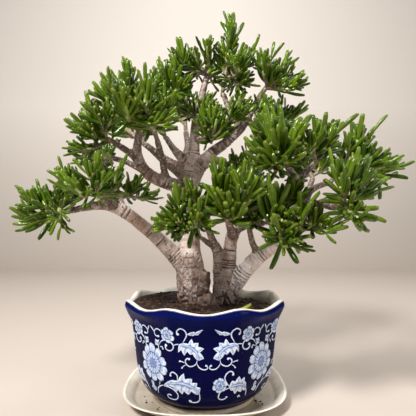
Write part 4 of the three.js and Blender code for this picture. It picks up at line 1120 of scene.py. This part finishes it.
# side shoots leave a stem between these shares of its length, at this angle and with these sizes
sideShape = {"from": 0.30, "to": 0.80, "angle": 50.0, "length": 17.0, "radius": 2.2, "size": [0.68, 0.95],
             "leafy": 16.0, "tries": 14, "count": 3, "smallCount": 5, "room": 1.2, "clear": 6.0,
             "ahead": 14.0}
# sprays whose leaves are smaller than most; their stems are as much longer
smallLeaved = {
    "left_far": 0.84, "left_near": 0.74, "left_back": 0.88, "west_out": 0.80, "west_low": 0.84,
    "west_crown": 0.78, "west_rise": 0.76, "west_mid": 0.84, "north_stub": 0.84, "north_back": 0.86,
    "top_left": 0.84, "crown": 0.88, "east_inner": 0.84, "east_rise": 0.86, "east_side": 0.84, "nest": 0.74,
    "middle_back": 0.84, "thin_stem": 0.84, "back_west": 0.88, "back_east": 0.88,
}
# small shoots that spring from a limb or an older stem: [x, y, z there, x, y, z of the tip, size]
sprouts = {
    "east_inner": [[33, 0, 348, 45, -4, 358, 0.60]],
    "east_side": [[56, -6, 347, 67, -12, 347, 0.60]],
    "crown": [[-11, 7, 336, 7, -3, 352, 0.62], [-10, 8, 345, -22, -8, 352, 0.60]],
    "middle_back": [[57, 33, 260, 62, 50, 294, 0.72], [45, 48, 260, 34, 62, 292, 0.72],
                    [47, 40, 256, 49, 56, 299, 0.72]],
}
sproutRadii = [2.6, 2.2, 1.5]


# The shoots of one spray as ways of stations, with their sizes: the first carries on from the limb's end, and
# the others branch from it in turn.
def shootsOf(node, small):
    s = stemShape
    limbName, places = sprays[node]
    longer = (1 - small) * leafShape["smallLeafy"]
    limb = np.array(leftLimbs.get(limbName) or rightLimbs.get(limbName), float)
    heading = unit(limb[-1, :3] - limb[-2, :3])
    end, thick = limb[-1, :3], limb[-1, 3]
    hub = end + heading * (thick + s["hubRise"])
    leaderFoot = None
    shoots = []
    for i, (x, y, z, size, leanName) in enumerate(places):
        share = eased(np.clip((size - s["small"]) / (s["big"] - s["small"]), 0, 1))
        leafy = int(s["fewPairs"] + (s["manyPairs"] - s["fewPairs"]) * share + 0.5) * s["pairHeight"]
        rosette = np.array([x, y, z], float)
        start = hub if leaderFoot is None else hub + (leaderFoot - hub) * (0.15 + 0.6 * (i - 1) / len(places))
        axis = unit(s["straightness"] * unit(rosette - start) + unit(lean[leanName]))
        foot = rosette - axis * s["sunk"] * leafy
        top = foot + axis * (leafy * leafShape["over"] + longer)
        radius = s["radius"]
        lower = [[*start, radius * 0.75]]
        if leaderFoot is None:
            lower = [[*(end - heading * 3), thick * 0.93], [*end, thick * 0.97], [*hub, min(thick * 0.85, 4)]]
            leaderFoot = foot
        upper = [[*foot, radius], [*(foot + axis * leafy * 0.5), radius * 0.92], [*top, radius * 0.62]]
        shoots.append((lower + upper, size))
    return shoots


# Leaves as arrays of root, direction, side, length, radius, bend, sway, cup and flatness. A leaf's line is
# root + v L d + bend L v^2 up + sway L v^2 side, where up is square to the leaf and its side. Its rim slants,
# and the rows beyond the rim sink into the dimple.
def leafPoints(leaves):
    direction, side = leaves["direction"], leaves["side"]
    up = np.cross(direction, side)
    length, radius, bend, sway, cup, flat = (
        leaves[key][:, None, None] for key in ("length", "radius", "bend", "sway", "cup", "flat"))
    v = leafProfile[None, :, 1, None]
    sine, cosine = np.sin(turns(leafShape["sides"])), np.cos(turns(leafShape["sides"]))
    dimple = (np.arange(len(leafProfile)) > leafShape["rim"])[None, :, None]
    reach = v - np.where(dimple, (1 - v) * cup * 2.4, 0)
    reach = reach - 0.035 * np.clip(v * 3 - 2, 0, 1) * (0.4 + cup) * sine
    wide = radius * leafProfile[None, :, 0, None] * np.where(dimple, 1 + cup * 0.25, 1.0)
    flat = flat * (1 - 0.12 * np.clip(sine, 0, 1))
    points = (leaves["root"][:, None, None] + (length * reach)[..., None] * direction[:, None, None]
              + (wide * cosine + sway * length * reach ** 2)[..., None] * side[:, None, None]
              + (wide * flat * sine + bend * length * reach ** 2)[..., None] * up[:, None, None])
    length, bend, sway, deep = length[:, 0], bend[:, 0], sway[:, 0], 0.955 - cup[:, 0] * 0.11
    pole = leaves["root"] + length * (deep * direction + sway * deep ** 2 * side + bend * deep ** 2 * up)
    return points, pole


# Places that stand for a leaf when its room is worked out, each with the leaf's radius there.
def leafSamples(root, direction, side, length, radius, bend):
    v = np.linspace(0.3, 0.97, leafShape["samples"])[:, None]
    up = np.cross(direction, side)
    return root + v * length * direction + bend * length * v ** 2 * up, radius * (0.6 + 0.4 * v[:, 0])


# the most balls in all and near one shoot, how far off they still count, and the overlap where none do
roomShape = {"balls": 60000, "near": 12000, "reach": 24.0, "free": -9.0}


# What stands where, as balls: all of it, and what is near the shoot that is being grown.
class Room:
    def __init__(self):
        self.balls, self.count = np.zeros((roomShape["balls"], 4)), 0
        self.near, self.nearCount = np.zeros((roomShape["near"], 4)), 0

    def focus(self, centre, reach):
        close = np.abs(self.balls[:self.count, :3] - centre).max(1) < reach
        self.nearCount = int(close.sum())
        self.near[:self.nearCount] = self.balls[:self.count][close]

    def add(self, places, radii):
        balls = np.column_stack([places, radii])
        self.balls[self.count:self.count + len(balls)] = balls
        self.near[self.nearCount:self.nearCount + len(balls)] = balls
        self.count += len(balls)
        self.nearCount += len(balls)

    # a stem takes up room with every third ball of its way, a little thinner than it is
    def addStem(self, way, first=0):
        self.add(way[first::3, :3], way[first::3, 3] * stemShape["core"])

    # the deepest overlap of the places given with what has been added near them
    def overlap(self, places, radii):
        near = self.near[:self.nearCount]
        near = near[np.abs(near[:, :3] - places.mean(0)).max(1) < roomShape["reach"]]
        if len(near) == 0:
            return roomShape["free"]
        apart = np.linalg.norm(places[:, None] - near[None, :, :3], axis=2)
        return float((radii[:, None] + near[None, :, 3] - apart).max())


# A stem that bears leaves of one size: its fine way, and the length of its leafy part.
def newGrower(stations, size, small, bears=None):
    way, travelled = fineWay(stations, stemShape["step"])
    return {"way": way, "travelled": travelled, "size": size, "small": small,
            "bears": travelled[-1] * 0.75 if bears is None else bears}


# The first of several turns and droops that leaves a leaf room, or else the one with the most room.
def placeLeaf(room, frame, at, turn, plain, length, thick, bend):
    axis, across, other = frame
    best = None
    for shift, droop, shorter in leafTries:
        out = across * math.sin(turn + shift) + other * math.cos(turn + shift)
        spread = math.radians(plain + droop)
        direction = axis * math.cos(spread) + out * math.sin(spread)
        direction[2] += leafShape["lift"]
        direction = unit(direction)
        side = unit(np.cross(axis, out))
        side = unit(side - direction * (side @ direction))
        root = at + out * leafShape["out"]
        samples = leafSamples(root, direction, side, length * shorter, thick, bend)
        deep = room.overlap(*samples)
        if best is None or deep < best[0]:
            best = (deep, samples, root, direction, side, length * shorter)
        if deep < leafShape["room"]:
            break
    return best


# The leaves of one shoot stand in crossed pairs, old ones out and young ones up. A leaf is left out where
# none of its tries leaves it room.
def growLeaves(grower, room, random, leaves):
    s = leafShape
    size, way, travelled = grower["size"], grower["way"], grower["travelled"]
    along, acrosses, others = framesAlong(way)
    leafy = min(grower["bears"], travelled[-1] * 0.85)
    pairs = max(int(round(leafy / (s["spacing"] * grower["small"]))), 3)
    room.focus(way[-1, :3], s["around"])
    base = random.uniform(-0.25, 0.25)
    for pair in range(pairs):
        share = (pair + 0.5) / pairs
        at = np.searchsorted(travelled, travelled[-1] - leafy * (1 - share) * 0.98) - 1
        for half in range(2):
            turn = math.pi * half + math.pi / 2 * pair + math.pi / 4 + base
            turn += random.normal() * s["turnJitter"]
            plain = s["spreadLow"] + (s["spreadHigh"] - s["spreadLow"]) * share ** 0.9
            plain += random.normal() * s["spreadJitter"]
            length = s["length"] * size * (s["shortest"] + s["lengthRange"] * random.random())
            length *= 1 - 0.2 * share ** 5
            thick = s["radius"] * size ** 0.8 * (s["thinnest"] + s["thickRange"] * random.random())
            thick *= 1 - 0.2 * share ** 3
            bend = random.uniform(-0.02, 0.38) * (1 - 0.6 * share)
            sway = random.normal() * 0.1
            cup = random.random() ** 3
            tint = random.random()
            if tint < s["longShare"] and share > s["longFrom"]:
                length *= s["longer"]
            frame = along[at], acrosses[at], others[at]
            deep, samples, *placed = placeLeaf(room, frame, way[at, :3], turn, plain, length, thick, bend)
            if deep <= s["most"]:
                room.add(*samples)
                leaves.append((*placed, thick, bend, sway, cup, tint, share))


# Small shoots beside a stem: each leaves it at an angle, bends upwards, and is tried at several places until
# it has room.
def sideShoots(grower, room, random):
    s = sideShape
    wanted = s["count"] if grower["small"] == 1 else s["smallCount"]
    way = grower["way"]
    along, acrosses, others = framesAlong(way)
    shoots = []
    for _ in range(s["tries"]):
        at = int(len(way) * random.uniform(s["from"], s["to"]))
        turn = random.uniform(0, 2 * math.pi)
        size = grower["size"] * random.uniform(*s["size"])
        out = acrosses[at] * math.sin(turn) + others[at] * math.cos(turn)
        slope = math.radians(s["angle"] + random.normal() * 8)
        heading = unit(along[at] * math.cos(slope) + out * math.sin(slope) + np.array([0, 0, 0.4]))
        length = s["length"] * random.uniform(0.8, 1.25)
        start = way[at, :3]
        middle = start + heading * length * 0.5
        top = middle + unit(heading + 0.3 * along[at] + np.array([0, 0, 0.25])) * length * 0.5
        stations = [[*start, s["radius"]], [*middle, s["radius"] * 0.85], [*top, s["radius"] * 0.6]]
        shoot = newGrower(stations, size, grower["small"], s["leafy"] * size)
        beyond = shoot["way"][shoot["travelled"] > s["clear"], :3]
        places = np.vstack([beyond, top + heading * s["ahead"] * size])
        if room.overlap(places, np.full(len(places), s["radius"])) > s["room"]:
            continue
        shoots.append(shoot)
        if len(shoots) == wanted:
            break
    return shoots


# All the stems of one spray with their leaves, as growers and rows of leaves.
def growSpray(node, room, random):
    sprayName = node.removeprefix("spray_")
    small = smallLeaved.get(sprayName, 1.0)
    growers, leaves = [], []
    for stations, size in shootsOf(node, small):
        size *= random.uniform(0.88, 1.10)
        bears = leafShape["leafy"] * size + (1 - small) * leafShape["smallLeafy"]
        growers.append(newGrower(stations, size * small, small, bears))
        room.addStem(growers[-1]["way"])
    for *ends, size in sprouts.get(sprayName, []):
        start, tip = np.array(ends[:3], float), np.array(ends[3:], float)
        stations = np.column_stack([[start, (start + tip) / 2 - [0, 0, 2.5], tip], sproutRadii])
        growers.append(newGrower(stations, size, small))
        room.addStem(growers[-1]["way"])
    for grower in list(growers):
        growLeaves(grower, room, random, leaves)
        for shoot in sideShoots(grower, room, random):
            room.addStem(shoot["way"], 2)
            growLeaves(shoot, room, random, leaves)
            growers.append(shoot)
    return growers, leaves


# Many leaves as one mesh: two quads close the root of each six-sided leaf, and a fan its dimple. The marks
# are the place along it, past 1 in the dimple, a tint of its own and its youth.
def leafMesh(leaves):
    names = ("root", "direction", "side", "length", "radius", "bend", "sway", "cup", "tint", "share")
    grown = {key: np.array([leaf[i] for leaf in leaves]) for i, key in enumerate(names)}
    grown["flat"] = 0.74 + 0.16 * np.modf(grown["tint"] * 7.3)[0]
    body, pole = leafPoints(grown)
    number, rows, sides = body.shape[:3]
    each = rows * sides + 1
    points = np.concatenate([body.reshape(number, -1, 3), pole[:, None]], 1).reshape(-1, 3)
    quads = np.concatenate([gridQuads(rows, sides), [[3, 2, 1, 0], [5, 4, 3, 0]]])
    fan = fanTriangles(np.arange(sides) + each - 1 - sides, each - 1)
    starts = each * np.arange(number)[:, None, None]
    mesh = [points, (quads + starts).reshape(-1, 4), (fan + starts).reshape(-1, 3)]
    along = np.append(np.repeat(rowMarks(), sides), leafShape["poleMark"])
    marks = [np.tile(along, number), np.repeat(grown["tint"], each), np.repeat(grown["share"], each)]
    return mesh, marks


# Marks of a leaf's rows: the place along it, and past 1 beyond the rim.
def rowMarks(belowRim=1.0):
    past = np.arange(len(leafProfile)) - leafShape["rim"]
    return np.where(past > 0, 1 + 0.45 * past, leafProfile[:, 1] * belowRim)


# A stem with knobs where its leaves stood. Its marks are the place along, below 0, a tint and no youth.
def stemMesh(grower, tint):
    s = stemShape
    way, travelled = grower["way"].copy(), grower["travelled"]
    way[:, 3] *= 1 + s["knobDepth"] * np.cos(travelled * 2 * math.pi / s["knobs"])
    mesh = tubeMesh(way, s["sides"], s["domes"])
    green = np.clip(1 - (travelled[-1] - travelled) / max(travelled[-1], 30), 0, 1)
    green = np.concatenate([np.repeat(np.append(green, [1] * (s["domes"] - 1)), s["sides"]), [0, 1]])
    return mesh, [green - 2, np.full(len(green), tint), np.zeros(len(green))]


# One spray: its stems, each with a random tint, and its leaves in one mesh.
def makeSpray(node, room, random):
    growers, leaves = growSpray(node, room, random)
    grown = [stemMesh(grower, random.random()) for grower in growers] + [leafMesh(leaves)]
    meshes, marks = zip(*grown)
    marks = {key: np.concatenate(rows) for key, rows in zip(("along", "tint", "youth"), zip(*marks))}
    spray = makePiece("fine_" + node, *joinMeshes(meshes), marks)
    settle(spray, leafSkin, node)
    return len(leaves)


# Glossy green that is yellow at the root and in young leaves, with a red-brown rim on some ends and a
# pale dimple; stems are brown below and green above.
def leafMaterial():
    leaf = Finish("fingerLeaf", Roughness=0.22, Specular_IOR_Level=0.22, Specular_Tint=(0.85, 1.0, 0.55),
                  Subsurface_Weight=0.06, Subsurface_Radius=(0.5, 1.0, 0.2), Subsurface_Scale=0.003,
                  Coat_Weight=0.24, Coat_Roughness=0.12)
    along, tint = leaf.attribute("along"), leaf.attribute("tint")
    body = leaf.ramp(along, (0.0, (0.27, 0.33, 0.03)), (0.12, (0.118, 0.195, 0.008)),
                     (0.36, (0.040, 0.091, 0.002)), (0.88, (0.0195, 0.053, 0.0013)),
                     (1.0, (0.024, 0.054, 0.0025)))
    shade = leaf.ramp(tint, (0.0, (0.50, 0.62, 0.7)), (0.35, (0.85, 0.92, 0.9)), (0.7, (1.25, 1.15, 0.95)),
                      (1.0, (2.2, 1.6, 1.0)))
    color = leaf.mix(1.0, body, shade, "MULTIPLY")
    color = leaf.mix(leaf.product(leaf.attribute("youth"), 0.42), color, (0.20, 0.30, 0.02))
    blotches = leaf.ramp(leaf.noise(160.0), (0.35, (0.82, 0.84, 0.8)), (0.65, (1.15, 1.13, 1.1)))
    color = leaf.mix(1.0, color, blotches, "MULTIPLY")
    # the rim lies just past 0.4 of the shrunk mark, and how red it is goes by the tint, shuffled
    rim = leaf.ramp(leaf.product(along, 0.4), (0.0, 0), (0.394, 0), (0.42, 1), (0.70, 1), (0.90, 0.3))
    shuffled = leaf.combine("FRACT", leaf.product(tint, 17.0))
    redness = leaf.ramp(shuffled, (0.0, 0.12), (0.5, 0.25), (0.9, 0.8))
    color = leaf.mix(leaf.product(rim, redness), color, (0.13, 0.066, 0.030))
    wood = leaf.ramp(leaf.combine("ADD", along, 2.0), (0.0, (0.20, 0.135, 0.10)), (0.40, (0.26, 0.20, 0.13)),
                     (0.70, (0.25, 0.27, 0.10)), (1.0, (0.22, 0.34, 0.07)))
    freckles = leaf.ramp(leaf.noise(330.0, 1.0), (0.58, 0), (0.66, 1))
    twig = leaf.mix(freckles, wood, (0.46, 0.44, 0.38))
    leaf.bump(leaf.noise(900.0, 2.0), 0.5, 0.00025)
    return leaf.done(leaf.mix(leaf.combine("LESS_THAN", along, -0.5), color, twig))


leafSkin = leafMaterial()
leafRandom = np.random.default_rng(leafShape["seed"])
leafRoom = Room()
for limbStations in (*leftLimbs.values(), *rightLimbs.values()):
    sampled = fineWay(limbStations, 4.0)[0]
    leafRoom.add(sampled[:, :3], sampled[:, 3])
leafCount = sum(makeSpray(node, leafRoom, leafRandom) for node in sprays)
print("leaves grown:", leafCount, "balls:", leafRoom.count)

soilShape = {"mound": 6.0, "lift": 1.6, "columns": 208, "rows": 80, "edge": 86.6, "heap": 8.5,
             "heapTurn": [-0.85, 0.45], "heapWidth": 75.0, "lean": 0.45, "calm": 14.0, "bottom": 82.0,
             "narrow": 0.93, "lumps": [[1.7, 14], [1.3, 6.5], [0.9, 3.2], [0.5, 1.7]], "seed": 41}
crumbShape = {"count": 1000, "small": 0.9, "large": 3.6, "dishCount": 80, "flatness": 0.6, "seed": 5,
              "reach": 0.93, "dishSpread": 0.75, "dishAway": [62, 74], "dishHeight": 4.9, "dishSize": 0.62}
fallenShape = {"place": [39.0, -40.0, 0.4], "length": 17.0, "radius": 2.6, "turn": 0.35, "rise": 0.06,
               "bend": 0.16, "sway": 0.22, "cup": 0.1, "flat": 0.85, "tint": 0.97, "youth": 0.9,
               "yellow": 0.12}


# On the left the soil is heaped against the wall, by an S-curve of the way towards it.
def heaped(x, y):
    s = soilShape
    return s["heap"] * eased(np.clip((s["heapTurn"][0] * x + s["heapTurn"][1] * y) / s["heapWidth"], 0, 1))


# Height of the soil, with s the share of the way from the middle to the wall: a mound (1 - s^2), lumps of
# several heights and sizes that are calm at the wall, and the heap by s^2.
def soilHeight(x, y, share):
    s = soilShape
    flat = np.stack([x, y, np.zeros_like(x)], -1)
    lumps = sum(high * latticeNoise(flat, wide, s["seed"] + i) for i, (high, wide) in enumerate(s["lumps"]))
    lumps *= np.clip((1 - share) * s["calm"], 0, 1)
    return (potShape["soilLine"] + s["mound"] * (1 - share ** 2) + lumps + potShape["seat"] + s["lift"]
            + heaped(x, y) * share ** 2)


# Rings of the pot's inner plan, shrunk evenly from the wall to the middle and lifted to the soil's height,
# over one narrower ring in the pot's depth.
def makeSoil():
    s = soilShape
    columns, angle = s["columns"], turns(s["columns"])
    share = np.linspace(1, 0, s["rows"] + 1)[:-1]
    level = np.full((s["rows"], columns), potShape["soilLine"])
    radius, _ = lobed(angle[None, :], s["edge"] * share[:, None] * np.ones(columns), level)
    radius += share[:, None] ** 2 * s["lean"] * heaped(radius * np.sin(angle), -radius * np.cos(angle))
    top = around(angle, radius, level)
    x, y, share = top[..., 0].ravel(), top[..., 1].ravel(), np.repeat(share, columns)
    top[..., 2] = soilHeight(x, y, share).reshape(level.shape)
    low = top[:1] * [s["narrow"], s["narrow"], 0] + [0, 0, s["bottom"]]
    soil = makePiece("looseSoil", *closedRings(np.concatenate([low, top]), [0, 0, s["bottom"]],
                                               [0, 0, top[-1, :, 2].mean()]))
    settle(soil, soilSkin, "soil")


# Crumbs: each is an icosahedron whose corners are pushed in or out at random, flattened and turned.
def makeCrumbs():
    s = crumbShape
    random = np.random.default_rng(s["seed"])
    golden = (1 + math.sqrt(5)) / 2
    corners = unit([[-1, golden, 0], [1, golden, 0], [-1, -golden, 0], [1, -golden, 0], [0, -1, golden],
                    [0, 1, golden], [0, -1, -golden], [0, 1, -golden], [golden, 0, -1], [golden, 0, 1],
                    [-golden, 0, -1], [-golden, 0, 1]])
    faces = np.array([[0, 11, 5], [0, 5, 1], [0, 1, 7], [0, 7, 10], [0, 10, 11], [1, 5, 9], [5, 11, 4],
                      [11, 10, 2], [10, 7, 6], [7, 1, 8], [3, 9, 4], [3, 4, 2], [3, 2, 6], [3, 6, 8],
                      [3, 8, 9], [4, 9, 5], [2, 4, 11], [6, 2, 10], [8, 6, 7], [9, 8, 1]])
    count = s["count"] + s["dishCount"]
    share = np.sqrt(random.uniform(0, s["reach"], s["count"]))
    angle = random.uniform(0, 2 * math.pi, s["count"])
    radius, _ = lobed(angle, soilShape["edge"] * share, np.full(s["count"], potShape["soilLine"]))
    inPot = around(angle, radius, 0 * radius)
    inPot[:, 2] = soilHeight(inPot[:, 0], inPot[:, 1], share)
    # on the saucer they gather in front of the foot
    spread = random.normal(0, s["dishSpread"], s["dishCount"])
    away = random.uniform(*s["dishAway"], s["dishCount"])
    inDish = around(spread, away, np.full(s["dishCount"], s["dishHeight"]))
    size = s["small"] + (s["large"] - s["small"]) * random.random(count) ** 3
    size[s["count"]:] *= s["dishSize"]
    shape = corners[None] * random.uniform(0.65, 1.2, (count, 12, 1)) * size[:, None, None]
    shape[:, :, 2] *= s["flatness"]
    turn = random.uniform(0, 2 * math.pi, count)[:, None]
    lengthways = shape[:, :, 0] * random.uniform(0.8, 1.7, count)[:, None]
    points = np.stack([lengthways * np.cos(turn) - shape[:, :, 1] * np.sin(turn),
                       lengthways * np.sin(turn) + shape[:, :, 1] * np.cos(turn), shape[:, :, 2]], -1)
    points += np.concatenate([inPot, inDish])[:, None]
    triangles = (faces[None] + 12 * np.arange(count)[:, None, None]).reshape(-1, 3)
    chips = {"chip": np.repeat(random.random(count), 12)}
    settle(makePiece("soilCrumbs", points.reshape(-1, 3), noQuads, triangles, chips), soilSkin)


# Near black when damp, with brown crumbs and straw-coloured fibres.
def soilMaterial():
    soil = Finish("darkSoil", Roughness=0.9, Specular_IOR_Level=0.2)
    clods = soil.noise(170.0, 8.0, 0.72)
    tone = soil.ramp(clods, (0.36, (0.006, 0.004, 0.003)), (0.50, (0.024, 0.013, 0.009)),
                     (0.62, (0.065, 0.036, 0.024)), (0.76, (0.17, 0.105, 0.068)))
    chips = soil.ramp(soil.attribute("chip"), (0.0, 0), (0.55, 0), (1.0, 0.7))
    fibres = soil.ramp(soil.noise(300.0, 2.0, 0.5, (0.22, 1, 0.5)), (0.68, 0), (0.72, 1))
    soil.bump(clods, 0.9, 0.002)
    soil.bump(soil.noise(700.0, 6.0, 0.7), 0.8, 0.0008)
    return soil.done(soil.mix(fibres, soil.mix(chips, tone, (0.17, 0.085, 0.05)), (0.20, 0.125, 0.075)))


# One yellowing leaf that has dropped on the soil and lies on its side.
def makeFallenLeaf():
    s = fallenShape
    x, y, spare = s["place"]
    share = math.hypot(x, y) / soilShape["edge"]
    height = soilHeight(np.array([x]), np.array([y]), np.array([share]))[0]
    leaf = {key: np.array([s[key]]) for key in ("length", "radius", "bend", "sway", "cup", "flat")}
    leaf["root"] = np.array([[x, y, height + s["radius"] * 0.8 + spare]])
    leaf["direction"] = unit([[math.cos(s["turn"]), math.sin(s["turn"]), s["rise"]]])
    leaf["side"] = unit(np.cross([[0, 0, 1.0]], leaf["direction"]))
    body, pole = leafPoints(leaf)
    points, quads, fans = closedRings(body[0], leaf["root"][0], pole[0])
    along = np.append(np.repeat(rowMarks(s["yellow"]), leafShape["sides"]), [0, leafShape["poleMark"]])
    marks = {key: np.full(len(points), s[key]) for key in ("tint", "youth")}
    settle(makePiece("fallenLeaf", points, quads, fans, {"along": along, **marks}), leafSkin)


soilSkin = soilMaterial()
makeSoil()
makeCrumbs()
makeFallenLeaf()
print("soil laid")
